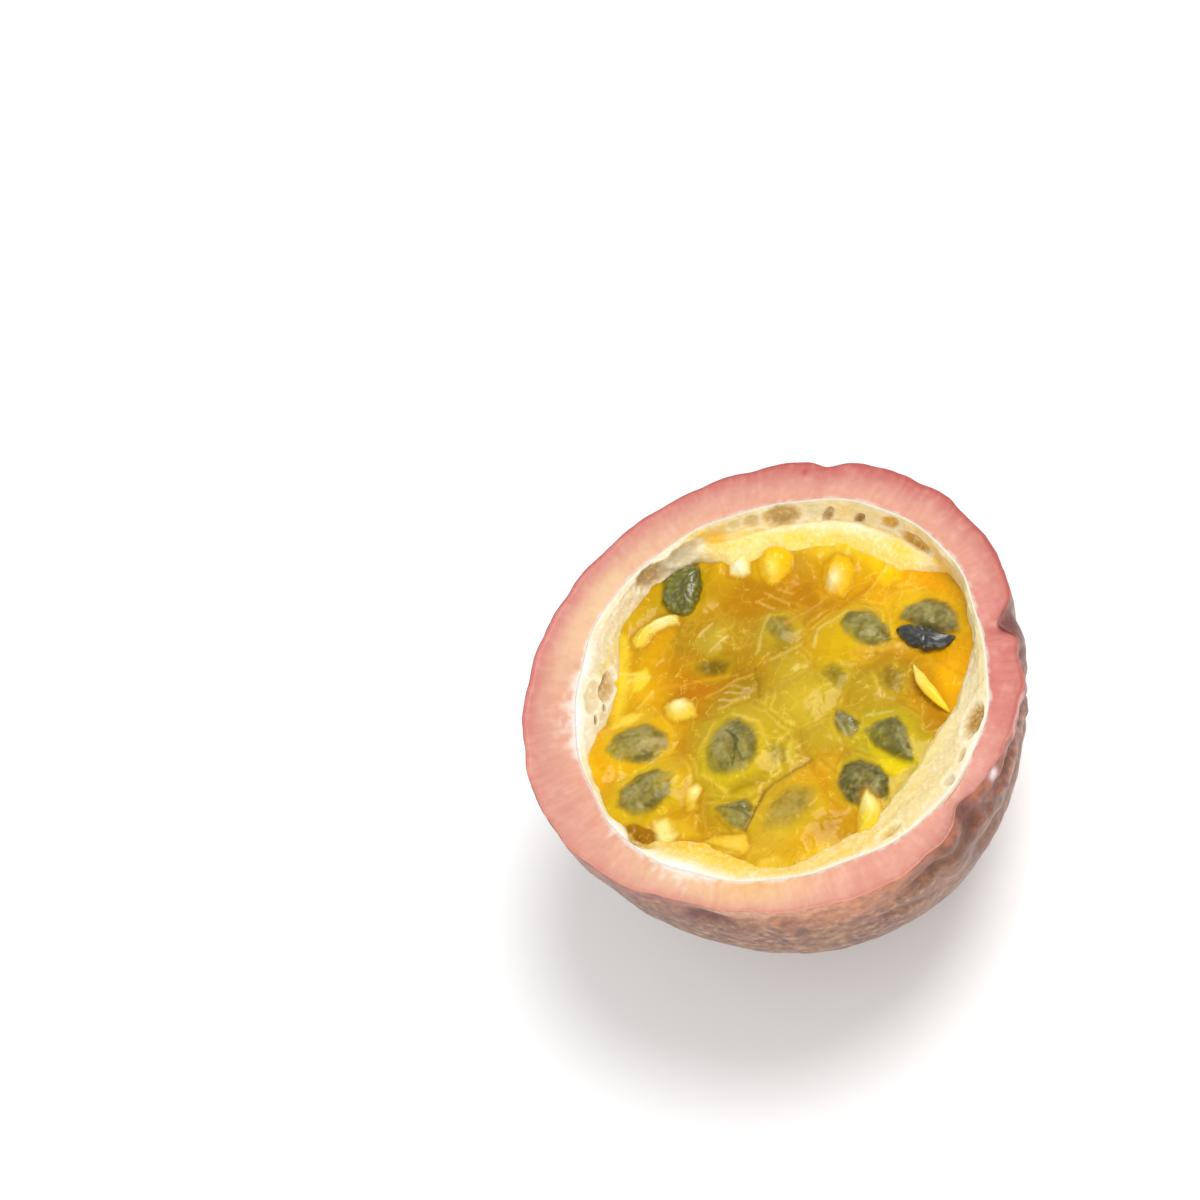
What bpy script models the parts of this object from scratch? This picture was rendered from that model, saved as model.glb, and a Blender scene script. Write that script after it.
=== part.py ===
"""Half a passion fruit, cut across its middle and lying level with the cut face up.

Metres, +Z up. The origin is the middle of the small flat spot that the shell rests on.
Every piece is shaped round the middle of the cut face and then raised to its height.
A place on a piece is given by its turn, the angle round the fruit from +X, and its dip,
the angle down from the cut face, and the piece's surface lies at some reach from the middle.
"""

import math
import random

import bmesh
import bpy
from mathutils import Matrix, Vector

MM = 0.001

# Driving dimensions of the fruit
RIM_RADIUS = 25.8 * MM
SHELL_DEPTH = 27.3 * MM
FOOT_RISE = 0.3 * MM
CUT_HEIGHT = SHELL_DEPTH - FOOT_RISE
FLESH_EDGE_RADIUS = 21.5 * MM
FLESH_FLOOR = 4.2 * MM
GAP = 0.3 * MM

# Fineness of the dished surfaces, with the rows crowded towards the cut face
SHELL_COLUMNS = 96
LINER_COLUMNS = 72
PULP_COLUMNS = 36
SKIN_ROWS = 15
FLESH_ROWS = 7
PITH_ROWS = 12
ROW_CROWDING = 1.45

# Dry wrinkles that run down the skin from the rim: lobes round the fruit, depth, peak in degrees
WRINKLES = ((19, 0.16 * MM, 4), (27, 0.14 * MM, 9), (34, 0.10 * MM, 2))
WRINKLE_FADE = 9 * MM
SHRUNK_TURN = 312
SHRUNK_SPREAD = 42

# Deep folds in the skin: turn in degrees, distance below the cut,
# half width in degrees, half height, depth
SKIN_FOLDS = (
    (345, 0.0 * MM, 4.5, 2.6 * MM, 2.1 * MM),
    (344, 4.6 * MM, 6.0, 3.2 * MM, 0.9 * MM),
    (330, 3.2 * MM, 9.0, 1.0 * MM, 1.1 * MM),
    (312, 2.6 * MM, 11.0, 1.0 * MM, 1.3 * MM),
    (296, 1.0 * MM, 4.5, 1.8 * MM, 1.2 * MM),
    (283, 3.4 * MM, 10.0, 1.0 * MM, 0.9 * MM),
    (322, 7.0 * MM, 13.0, 1.4 * MM, 1.0 * MM),
    (300, 8.2 * MM, 10.0, 1.4 * MM, 0.8 * MM),
    (226, 0.0 * MM, 13.0, 9.0 * MM, 1.1 * MM),
    (231, 2.8 * MM, 6.0, 1.1 * MM, 0.8 * MM),
    (52, 0.0 * MM, 3.0, 3.0 * MM, 0.6 * MM),
)

# White pith: a thin spongy liner, thicker in places
PITH_SKIN = 1.0 * MM
PITH_STRIP = (-45, 30, 2.3 * MM, 1.7 * MM)
PITH_SPONGE = (151, 17, 2.2 * MM, 4.5 * MM)
LEDGE_MIDDLE = 52
LEDGE_HALF_SPAN = 42
LEDGE_DROP = 3.0 * MM
LEDGE_STANDOFF = 1.3 * MM

# Cells torn open in the pith: turn in degrees, distance below the cut, half width, half height
PITH_CELLS = (
    (64, 1.3 * MM, 1.6 * MM, 1.0 * MM),
    (73, 1.2 * MM, 1.0 * MM, 0.7 * MM),
    (48, 1.3 * MM, 0.7 * MM, 1.0 * MM),
    (38, 1.3 * MM, 0.6 * MM, 0.8 * MM),
    (30, 1.3 * MM, 1.0 * MM, 1.0 * MM),
    (107, 1.0 * MM, 1.8 * MM, 1.1 * MM),
    (94, 0.9 * MM, 1.7 * MM, 0.8 * MM),
    (150, 2.0 * MM, 1.5 * MM, 1.7 * MM),
    (161, 0.8 * MM, 0.6 * MM, 0.8 * MM),
    (205, 1.2 * MM, 1.6 * MM, 1.0 * MM),
    (318, 0.5 * MM, 1.4 * MM, 0.7 * MM),
    (280, 0.4 * MM, 1.2 * MM, 0.5 * MM),
)
CELL_DEPTH = 0.75 * MM

# The pulp stands lower at the far right, so the level of its sacs slopes
PULP_LEVEL = -2.0 * MM
PULP_SLOPE = (-0.045, -0.075)
CORE_DROP = 1.5 * MM
CORE_INSET = 0.25 * MM

# Juice sacs with a seed in them: across, along, length, width, turn in degrees
SEEDED_SACS = (
    (-15.6 * MM, 2.2 * MM, 10.0 * MM, 6.0 * MM, -10),
    (-14.8 * MM, -4.2 * MM, 9.6 * MM, 5.6 * MM, 6),
    (-5.5 * MM, -4.4 * MM, 9.2 * MM, 8.4 * MM, 50),
    (-9.8 * MM, -10.8 * MM, 7.0 * MM, 5.2 * MM, -35),
    (-4.0 * MM, -14.2 * MM, 11.5 * MM, 9.0 * MM, 25),
    (3.8 * MM, -14.0 * MM, 6.0 * MM, 6.0 * MM, 0),
    (8.3 * MM, -11.4 * MM, 7.4 * MM, 5.6 * MM, 115),
    (4.8 * MM, -7.2 * MM, 5.0 * MM, 4.0 * MM, 100),
    (9.4 * MM, 2.2 * MM, 8.0 * MM, 5.8 * MM, -15),
    (16.4 * MM, -0.6 * MM, 7.4 * MM, 6.6 * MM, -35),
    (3.2 * MM, 7.2 * MM, 6.2 * MM, 5.0 * MM, 80),
    (-4.2 * MM, 8.2 * MM, 6.6 * MM, 5.2 * MM, 20),
    (-3.2 * MM, 15.6 * MM, 6.2 * MM, 5.4 * MM, 30),
    (11.0 * MM, -4.4 * MM, 5.6 * MM, 5.0 * MM, 60),
    (5.6 * MM, -1.2 * MM, 5.0 * MM, 4.6 * MM, 70),
    (-1.2 * MM, -7.8 * MM, 5.4 * MM, 4.0 * MM, 70),
)
SAC_HEIGHT = 5.0 * MM

# Empty sacs fill what is left, set out like the florets of a sunflower
FILLER_SAC = 7.4 * MM
FILLER_COUNT = 90
FILLER_REACH = 19 * MM
FILLER_CLEARANCE = 4.1 * MM
GOLDEN_TURN = math.radians(137.5)

# Seeds that break the surface: across, along, rise over the sacs' level, length, width, turn, lean
SEED_THICKNESS = 2.2 * MM
BARE_SEEDS = (
    (16.6 * MM, -1.6 * MM, -0.2 * MM, 5.8 * MM, 4.4 * MM, -38, 28),
    (-3.2 * MM, 16.4 * MM, 0.2 * MM, 5.2 * MM, 4.2 * MM, 40, 14),
    (3.7 * MM, -14.2 * MM, 0.2 * MM, 4.8 * MM, 4.2 * MM, -30, 8),
    (8.4 * MM, -11.4 * MM, 0.1 * MM, 5.0 * MM, 3.8 * MM, 110, 12),
    (5.0 * MM, -7.1 * MM, 0.2 * MM, 3.8 * MM, 3.2 * MM, 105, 55),
    (-8.7 * MM, -11.0 * MM, 0.2 * MM, 4.4 * MM, 3.6 * MM, -50, 18),
)

# Pale pegs that held the seeds: across, along, rise, length, thickness, turn, lean
PEG_DEPTH = 2.8 * MM
PEGS = (
    (-7.6 * MM, 13.6 * MM, 0.3 * MM, 4.6 * MM, 1.5 * MM, 12, 4),
    (-9.4 * MM, 3.6 * MM, 0.3 * MM, 3.6 * MM, 2.0 * MM, -12, 10),
    (3.0 * MM, 16.6 * MM, 0.4 * MM, 3.0 * MM, 1.9 * MM, 75, 12),
    (6.4 * MM, 14.6 * MM, 0.4 * MM, 3.6 * MM, 2.4 * MM, 30, 8),
    (11.2 * MM, 9.6 * MM, 0.4 * MM, 4.2 * MM, 2.3 * MM, 70, 10),
    (13.9 * MM, -7.6 * MM, 0.3 * MM, 6.4 * MM, 1.3 * MM, -80, 4),
    (2.8 * MM, -17.2 * MM, 0.2 * MM, 3.0 * MM, 1.6 * MM, -100, 6),
    (-11.6 * MM, -7.2 * MM, 0.3 * MM, 2.4 * MM, 1.4 * MM, 50, 8),
)


def wave(turn, height, lobes, peak):
    """A smooth wave round the fruit, highest at peak degrees."""
    return height * math.cos(lobes * (turn - math.radians(peak)))


def bump(distance, width):
    """A smooth bump of height 1, which has fallen to about a third at its width."""
    return math.exp(-(distance / width) ** 2)


def degrees_from(turn, degrees):
    """How far a turn is from a direction round the fruit, from -180 to 180."""
    return (math.degrees(turn) - degrees + 180) % 360 - 180


def dish(radius, depth, dip):
    """Reach of a dish that is an ellipse in section."""
    return 1 / math.hypot(math.cos(dip) / radius, math.sin(dip) / depth)


def skin_reach(turn, dip):
    """The outside of the fruit, with its wrinkles and folds."""
    radius = RIM_RADIUS + wave(turn, 0.45 * MM, 1, 35) + wave(turn, 0.45 * MM, 3, 48)
    radius += wave(turn, 0.2 * MM, 4, 18)
    reach = dish(radius, SHELL_DEPTH, dip)
    below = reach * math.sin(dip)
    shrunk = 0.55 + 1.1 * bump(degrees_from(turn, SHRUNK_TURN), SHRUNK_SPREAD)
    for lobes, height, peak in WRINKLES:
        reach += wave(turn, height, lobes, peak) * shrunk * bump(below, WRINKLE_FADE)
    for place, drop, half_width, half_height, depth in SKIN_FOLDS:
        sideways = bump(degrees_from(turn, place), half_width)
        reach -= depth * sideways * bump(below - drop, half_height)
    return reach


def flesh_reach(turn, dip):
    """The inside of the pink flesh."""
    radius = FLESH_EDGE_RADIUS + wave(turn, 1.2 * MM, 1, -30) + wave(turn, 0.25 * MM, 4, 28)
    return dish(radius, SHELL_DEPTH - FLESH_FLOOR, dip)


def pith_back(turn, dip):
    """The side of the pith that faces the flesh."""
    return flesh_reach(turn, dip) - GAP


def pith_face(turn, dip):
    """The side of the pith that faces the pulp, with its strip, its sponge and its torn ledge."""
    back = pith_back(turn, dip)
    below = back * math.sin(dip)
    thickness = PITH_SKIN
    place, spread, height, drop = PITH_STRIP
    thickness += height * bump(degrees_from(turn, place), spread) * bump(below, drop)
    place, spread, height, drop = PITH_SPONGE
    thickness += height * bump(degrees_from(turn, place), spread) * bump(below, drop)
    off_ledge = degrees_from(turn, LEDGE_MIDDLE)
    if abs(off_ledge) < LEDGE_HALF_SPAN:
        along = math.cos(math.radians(90 * off_ledge / LEDGE_HALF_SPAN)) ** 0.5
        thickness += LEDGE_STANDOFF * along * bump(below - LEDGE_DROP, 1.3 * MM)
    return back - thickness


def pulp_side(turn, dip):
    """The outside of the pulp, where it lies in the pith."""
    return pith_face(turn, dip) - GAP


def core_side(turn, dip):
    """The outside of the core, a little inside the sacs that are pressed against the pith."""
    return pulp_side(turn, dip) - CORE_INSET


def sac_level(across, along):
    """Height of the sacs' tops at a place on the pulp."""
    return PULP_LEVEL + PULP_SLOPE[0] * across + PULP_SLOPE[1] * along


def half_sphere(bm, columns, rows, reach, hollow=False):
    """The lower half of a sphere, with each point moved out to its reach.

    A hollow one is the inside of a bowl, so its faces are turned to the middle.
    """
    made = bmesh.ops.create_uvsphere(bm, u_segments=columns, v_segments=2 * rows, radius=1)
    above = [vert for vert in made["verts"] if vert.co.z > 0.001]
    below = [vert for vert in made["verts"] if vert.co.z <= 0.001]
    bmesh.ops.delete(bm, geom=above, context="VERTS")
    quarter = math.pi / 2
    for vert in below:
        turn = math.atan2(vert.co.y, vert.co.x)
        share = math.asin(max(0, min(1, -vert.co.z))) / quarter
        dip = quarter * share ** ROW_CROWDING
        level = math.cos(dip) * reach(turn, dip)
        vert.co = (level * math.cos(turn), level * math.sin(turn), -math.sin(dip) * reach(turn, dip))
    if hollow:
        bmesh.ops.reverse_faces(bm, faces=list({face for vert in below for face in vert.link_faces}))


def open_edges(bm):
    return [edge for edge in bm.edges if edge.is_boundary]


def material(name, colour, roughness):
    made = bpy.data.materials.new(name)
    made.use_nodes = True
    shader = made.node_tree.nodes["Principled BSDF"]
    shader.inputs["Base Color"].default_value = (*colour, 1)
    shader.inputs["Roughness"].default_value = roughness
    shader.inputs["Metallic"].default_value = 0
    made.diffuse_color = (*colour, 1)
    return made


def place_object(name, bm, *materials):
    """Turn a finished bmesh into an object whose cut face is at its height."""
    bmesh.ops.recalc_face_normals(bm, faces=bm.faces[:])
    mesh = bpy.data.meshes.new(name)
    bm.to_mesh(mesh)
    bm.free()
    for one in materials:
        mesh.materials.append(one)
    made = bpy.data.objects.new(name, mesh)
    made.location.z = CUT_HEIGHT
    bpy.context.scene.collection.objects.link(made)
    return made


def shade(piece, sharp_degrees):
    piece.data.shade_smooth()
    piece.data.set_sharp_from_angle(angle=math.radians(sharp_degrees))


def join_pieces(body, operation, pieces):
    """Apply one Boolean between a body and loose pieces, which are then removed."""
    group = bpy.data.collections.new(body.name + "_pieces")
    bpy.context.scene.collection.children.link(group)
    for piece in pieces:
        bpy.context.scene.collection.objects.unlink(piece)
        group.objects.link(piece)
    joint = body.modifiers.new(operation.title(), "BOOLEAN")
    joint.operation = operation
    joint.operand_type = "COLLECTION"
    joint.collection = group
    joint.solver = "EXACT"
    bpy.context.view_layer.update()
    evaluated = body.evaluated_get(bpy.context.evaluated_depsgraph_get())
    joined = bpy.data.meshes.new_from_object(evaluated)
    body.modifiers.clear()
    body.data = joined
    for piece in pieces:
        bpy.data.objects.remove(piece)
    bpy.data.collections.remove(group)


def make_shell():
    """Brown skin and pink flesh in one bowl, flat at the cut and on its small foot."""
    bm = bmesh.new()
    half_sphere(bm, SHELL_COLUMNS, SKIN_ROWS, skin_reach)
    foot_cut = bmesh.ops.bisect_plane(
        bm, geom=bm.verts[:] + bm.edges[:] + bm.faces[:], dist=0.01 * MM,
        plane_co=(0, 0, -CUT_HEIGHT), plane_no=(0, 0, -1), clear_outer=True)
    foot_edges = [item for item in foot_cut["geom_cut"] if isinstance(item, bmesh.types.BMEdge)]
    bmesh.ops.holes_fill(bm, edges=foot_edges, sides=0)
    half_sphere(bm, SHELL_COLUMNS, FLESH_ROWS, flesh_reach, hollow=True)
    bmesh.ops.bridge_loops(bm, edges=open_edges(bm))
    skin = material("wrinkled_skin", (0.25, 0.13, 0.09), 0.45)
    flesh = material("pink_flesh", (0.78, 0.36, 0.32), 0.5)
    shell = place_object("shell", bm, skin, flesh)
    for face in shell.data.polygons:
        outward = face.normal.dot(face.center.normalized())
        if outward < 0 or face.center.z > -0.01 * MM:
            face.material_index = 1
    shade(shell, 40)


def make_pith():
    """White spongy liner between the flesh and the pulp, with its torn cells cut into it."""
    bm = bmesh.new()
    half_sphere(bm, LINER_COLUMNS, FLESH_ROWS, pith_back)
    half_sphere(bm, LINER_COLUMNS, PITH_ROWS, pith_face, hollow=True)
    bmesh.ops.bridge_loops(bm, edges=open_edges(bm))
    pith = place_object("pith", bm, material("spongy_pith", (0.90, 0.80, 0.50), 0.6))
    cells = []
    for place, drop, half_width, half_height in PITH_CELLS:
        turn = math.radians(place)
        dip = math.asin(drop / FLESH_EDGE_RADIUS)
        reach = pith_face(turn, dip)
        size = Matrix.Diagonal((CELL_DEPTH, half_width, half_height, 1))
        where = Vector((reach * math.cos(dip), 0, -drop))
        set_down = Matrix.Rotation(turn, 4, "Z") @ Matrix.Translation(where)
        cell = bmesh.new()
        bmesh.ops.create_icosphere(cell, subdivisions=1, radius=1, matrix=set_down @ size)
        cells.append(place_object("cell", cell))
    join_pieces(pith, "DIFFERENCE", cells)
    shade(pith, 45)


def sac(across, along, length, width, degrees):
    """One juice sac, a soft bean whose top is at the pulp's level."""
    middle = sac_level(across, along) - SAC_HEIGHT / 2
    size = Matrix.Diagonal((length / 2, width / 2, SAC_HEIGHT / 2, 1))
    turned = Matrix.Rotation(math.radians(degrees), 4, "Z")
    set_down = Matrix.Translation((across, along, middle)) @ turned
    bm = bmesh.new()
    bmesh.ops.create_icosphere(bm, subdivisions=2, radius=1, matrix=set_down @ size)
    return place_object("sac", bm)


def filler_sacs():
    """Empty sacs between the seeded ones, of uneven size and direction."""
    chance = random.Random(7)
    taken = [(across, along) for across, along, *_ in SEEDED_SACS]
    for count in range(FILLER_COUNT):
        far = FILLER_REACH * math.sqrt((count + 0.5) / FILLER_COUNT)
        across = far * math.cos(count * GOLDEN_TURN)
        along = far * math.sin(count * GOLDEN_TURN)
        length = FILLER_SAC * chance.uniform(0.9, 1.25)
        width = FILLER_SAC * chance.uniform(0.75, 0.95)
        degrees = chance.uniform(0, 180)
        if min(math.dist((across, along), other) for other in taken) > FILLER_CLEARANCE:
            taken.append((across, along))
            yield sac(across, along, length, width, degrees)


def small_piece(name, place, size, segments, rings):
    """A seed or a peg: a small rounded piece set down at a turn and a lean."""
    across, along, rise, degrees, lean = place
    height = sac_level(across, along) + rise - size[2] / 2
    set_down = Matrix.Translation((across, along, height))
    turned = Matrix.Rotation(math.radians(degrees), 4, "Z")
    leaned = Matrix.Rotation(math.radians(lean), 4, "Y")
    shape = Matrix.Diagonal((size[0] / 2, size[1] / 2, size[2] / 2, 1))
    bm = bmesh.new()
    bmesh.ops.create_uvsphere(bm, u_segments=segments, v_segments=rings, radius=1,
                              matrix=set_down @ turned @ leaned @ shape)
    return place_object(name, bm)


def make_pulp():
    """Juice sacs, bare seeds and pegs joined on a core, all held inside the pith."""
    core_bm = bmesh.new()
    half_sphere(core_bm, PULP_COLUMNS, PITH_ROWS, core_side)
    slope = Vector((-PULP_SLOPE[0], -PULP_SLOPE[1], 1)).normalized()
    bmesh.ops.bisect_plane(
        core_bm, geom=core_bm.verts[:] + core_bm.edges[:] + core_bm.faces[:], dist=0.01 * MM,
        plane_co=(0, 0, PULP_LEVEL - CORE_DROP), plane_no=slope, clear_outer=True)
    bmesh.ops.holes_fill(core_bm, edges=open_edges(core_bm), sides=0)
    pulp = place_object("pulp", core_bm, material("juice_sacs", (0.85, 0.50, 0.02), 0.15))
    pieces = [sac(*row) for row in SEEDED_SACS]
    pieces += list(filler_sacs())
    for across, along, rise, length, width, degrees, lean in BARE_SEEDS:
        place = (across, along, rise, degrees, lean)
        pieces.append(small_piece("seed", place, (length, width, SEED_THICKNESS), 8, 4))
    for across, along, rise, length, thickness, degrees, lean in PEGS:
        place = (across, along, rise, degrees, lean)
        pieces.append(small_piece("peg", place, (length, thickness, PEG_DEPTH), 6, 4))
    join_pieces(pulp, "UNION", pieces)
    mould_bm = bmesh.new()
    half_sphere(mould_bm, PULP_COLUMNS, PITH_ROWS, pulp_side)
    bmesh.ops.holes_fill(mould_bm, edges=open_edges(mould_bm), sides=0)
    join_pieces(pulp, "INTERSECT", [place_object("mould", mould_bm)])
    shade(pulp, 50)


for leftover in list(bpy.data.objects):
    bpy.data.objects.remove(leftover)
make_shell()
make_pith()
make_pulp()
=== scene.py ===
# Half a passion fruit, cut across and lying cut face up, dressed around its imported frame.

import math

import bmesh
import bpy
import numpy as np
from mathutils import Matrix, Vector, noise


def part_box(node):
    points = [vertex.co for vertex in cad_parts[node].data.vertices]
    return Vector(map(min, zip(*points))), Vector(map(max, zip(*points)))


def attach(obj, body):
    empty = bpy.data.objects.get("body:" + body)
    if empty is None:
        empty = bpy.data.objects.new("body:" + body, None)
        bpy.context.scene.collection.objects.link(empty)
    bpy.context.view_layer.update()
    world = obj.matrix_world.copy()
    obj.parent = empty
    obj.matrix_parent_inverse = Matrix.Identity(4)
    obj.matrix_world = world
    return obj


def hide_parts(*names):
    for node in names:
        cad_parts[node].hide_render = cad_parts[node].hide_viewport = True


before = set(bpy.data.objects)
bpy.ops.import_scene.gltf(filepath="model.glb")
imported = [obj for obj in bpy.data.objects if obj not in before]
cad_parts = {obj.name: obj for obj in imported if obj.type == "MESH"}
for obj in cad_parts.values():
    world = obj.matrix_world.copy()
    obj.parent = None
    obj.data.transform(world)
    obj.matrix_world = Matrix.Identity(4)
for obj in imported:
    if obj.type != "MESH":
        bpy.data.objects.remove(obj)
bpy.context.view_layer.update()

# The view
# The camera looks down on the cut face at the photo's angle to it. A place on the fruit is often
# given as it is seen: where the line of sight through it crosses the level of the cut face.
MM = 0.001
CUT_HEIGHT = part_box("shell")[1].z
FRAME_PIXELS = 1200
CUT_MIDDLE_PIXEL = (768.9, 684.4)
LENS = 100.0
SENSOR = 36.0
# The radius of the rim, on the fruit and in the picture, from which the distance follows
MEASURED_RADIUS = 26.0 * MM
MEASURED_PIXELS = 261.1
VIEW_DISTANCE = LENS * MEASURED_RADIUS / (MEASURED_PIXELS / FRAME_PIXELS * SENSOR)
VIEW_TILT = math.radians(33)
VIEW_ROLL = math.radians(27.8)

forward = Vector((0, math.sin(VIEW_TILT), -math.cos(VIEW_TILT)))
level_up = Vector((0, math.cos(VIEW_TILT), math.sin(VIEW_TILT)))
level_right = Vector((1, 0, 0))
up = math.cos(VIEW_ROLL) * level_up + math.sin(VIEW_ROLL) * level_right
right = math.cos(VIEW_ROLL) * level_right - math.sin(VIEW_ROLL) * level_up
facing = Matrix((right, up, -forward)).transposed()
across_sensor = [(pixel / FRAME_PIXELS - 0.5) * SENSOR for pixel in CUT_MIDDLE_PIXEL]
line_of_sight = Vector((across_sensor[0], -across_sensor[1], -LENS))
off_centre = line_of_sight.rotation_difference(Vector((0, 0, -1))).to_matrix()

camera = bpy.data.objects.new("camera", bpy.data.cameras.new("camera"))
camera.data.lens = LENS
camera.data.sensor_width = SENSOR
camera.data.clip_start = 0.01
camera.location = Vector((0, 0, CUT_HEIGHT)) - forward * VIEW_DISTANCE
camera.rotation_euler = (facing @ off_centre).to_euler()
bpy.context.scene.collection.objects.link(camera)
bpy.context.scene.camera = camera
bpy.context.scene.view_settings.view_transform = "Standard"

EYE = np.array(-forward * VIEW_DISTANCE)


def seen(points):
    """Where points, measured from the middle of the cut face, are seen on the cut face, in mm."""
    share = EYE[2] / (EYE[2] - points[:, 2:3])
    return ((EYE + (points - EYE) * share) / MM)[:, :2]


def behind(x, y, height):
    """The place at a height that is seen at x, y in mm on the cut face."""
    on_face = np.array((x * MM, y * MM, 0))
    return EYE + (on_face - EYE) * (EYE[2] - height) / EYE[2]


# The floor and the light
# A pale matt sheet in an even white room, with a soft key lamp above and to the right and a
# weaker, wider one at the near left. The shadow under the shell is soft and wide.
def linear(colour):
    """A colour given as sRGB hex, such as E8A07C, as linear red, green and blue."""
    parts = [int(colour[at:at + 2], 16) / 255 for at in (0, 2, 4)]
    return [part / 12.92 if part <= 0.04045 else ((part + 0.055) / 1.055) ** 2.4 for part in parts]


def add(tree, kind, settings=(), inputs=()):
    """Add one node. Its settings are set, and each of its inputs is set or linked."""
    made = tree.nodes.new("ShaderNode" + kind)
    for name, value in dict(settings).items():
        setattr(made, name, value)
    for name, value in dict(inputs).items():
        if isinstance(value, bpy.types.NodeSocket):
            tree.links.new(value, made.inputs[name])
        else:
            made.inputs[name].default_value = value
    return made


def new_material(name):
    """An empty material and its node tree."""
    made = bpy.data.materials.new(name)
    made.use_nodes = True
    made.node_tree.nodes.clear()
    return made, made.node_tree


# Half the width of the sheet in metres, and the strength of the room's even white light
FLOOR_HALF = 1.5
ROOM_LIGHT = 0.54

paper, tree = new_material("pale_matt_paper")
shader = add(tree, "BsdfPrincipled", {}, {"Base Color": (*linear("FDFDFD"), 1), "Roughness": 0.8})
add(tree, "OutputMaterial", {}, {"Surface": shader.outputs["BSDF"]})
bm = bmesh.new()
bmesh.ops.create_grid(bm, x_segments=1, y_segments=1, size=FLOOR_HALF)
floor_mesh = bpy.data.meshes.new("floor")
bm.to_mesh(floor_mesh)
bm.free()
floor_mesh.materials.append(paper)
floor = bpy.data.objects.new("floor", floor_mesh)
bpy.context.scene.collection.objects.link(floor)

world = bpy.data.worlds.new("studio")
world.use_nodes = True
world.node_tree.nodes["Background"].inputs["Color"].default_value = (1, 1, 1, 1)
world.node_tree.nodes["Background"].inputs["Strength"].default_value = ROOM_LIGHT
bpy.context.scene.world = world

# Each lamp: its place and its width in metres, its power in watts
for name, place, width, power in (
        ("key_light", (0.28, 0.1, 0.62), 0.4, 3.3),
        ("front_light", (-0.2, -0.5, 0.36), 0.7, 2.1)):
    lamp = bpy.data.lights.new(name, "AREA")
    lamp.shape = "DISK"
    lamp.size = width
    lamp.energy = power
    stand = bpy.data.objects.new(name, lamp)
    stand.location = place
    stand.rotation_euler = (-Vector(place)).to_track_quat("-Z", "Y").to_euler()
    bpy.context.scene.collection.objects.link(stand)


# The rind: skin and flesh
# One bowl, as the thin dry skin can't be parted from the moist pink flesh under it. It is shaped
# ring by ring from the bottom of the skin up to the cut, over the cut face and down the inside.
def hill(distance, width):
    """A smooth hill of height 1, which has fallen to about a third at its width."""
    return np.exp(-(distance / width) ** 2)


def ripple(turn, height, lobes, peak):
    """A smooth wave round the fruit, highest at peak degrees."""
    return height * np.cos(lobes * (turn - math.radians(peak)))


def apart(turn, degrees):
    """How far a turn is from a direction round the fruit, from -180 to 180 degrees."""
    return (np.degrees(turn) - degrees + 180) % 360 - 180


def step(value, low, high):
    """0 up to low, 1 from high on, and smooth in between."""
    share = np.clip((value - low) / (high - low), 0, 1)
    return share * share * (3 - 2 * share)


def lumps(points, size, seed):
    """Smooth noise from -1 to 1 at each point, with lumps of about the given size."""
    shift = Vector((7.3 * seed, 3.1 * seed, 5.7 * seed))
    return np.array([noise.noise(Vector(point) / size + shift) for point in points])


def ring_stack(columns, rows):
    """A mesh of closed rings, one on another along Z, whose first and last ring are a point."""
    bm = bmesh.new()
    bmesh.ops.create_circle(bm, segments=columns, radius=1)
    first = bm.verts[:]
    edges = bm.edges[:]
    for row in range(1, rows):
        grown = bmesh.ops.extrude_edge_only(bm, edges=edges)["geom"]
        verts = [item for item in grown if isinstance(item, bmesh.types.BMVert)]
        bmesh.ops.translate(bm, verts=verts, vec=(0, 0, 1))
        kept = set(verts)
        edges = [item for item in grown if isinstance(item, bmesh.types.BMEdge)
                 and item.verts[0] in kept and item.verts[1] in kept]
    bmesh.ops.pointmerge(bm, verts=first, merge_co=(0, 0, 0))
    bmesh.ops.pointmerge(bm, verts=verts, merge_co=(0, 0, rows - 1))
    mesh = bpy.data.meshes.new("rings")
    bm.to_mesh(mesh)
    bm.free()
    return mesh


def points_of(mesh):
    """All points of a mesh as rows of x, y, z."""
    flat = np.zeros(len(mesh.vertices) * 3)
    mesh.vertices.foreach_get("co", flat)
    return flat.reshape(-1, 3)


def turns_and_rows(mesh):
    """Each point's turn round the fruit and its ring, for a mesh still stacked as rings."""
    points = points_of(mesh)
    return np.arctan2(points[:, 1], points[:, 0]), np.rint(points[:, 2]).astype(int)


def keep_numbers(mesh, name, kind, values):
    """Store a value of each point in the mesh, for its material to read."""
    field = {"FLOAT": "value", "FLOAT_VECTOR": "vector", "FLOAT_COLOR": "color"}[kind]
    made = mesh.attributes.new(name, kind, "POINT")
    made.data.foreach_set(field, np.asarray(values, np.float32).ravel())


def keep_colour(mesh, name, colour, clear=1.0):
    """Store a colour of each point in the mesh, with one more value as its alpha."""
    alpha = np.broadcast_to(clear, len(colour))
    keep_numbers(mesh, name, "FLOAT_COLOR", np.column_stack((colour, alpha)))


def tinted(under, tint, share):
    """Colours with one more laid over them, given as sRGB hex, by a share for each point."""
    return under + (np.array(linear(tint)) - under) * np.asarray(share)[:, None]


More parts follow.
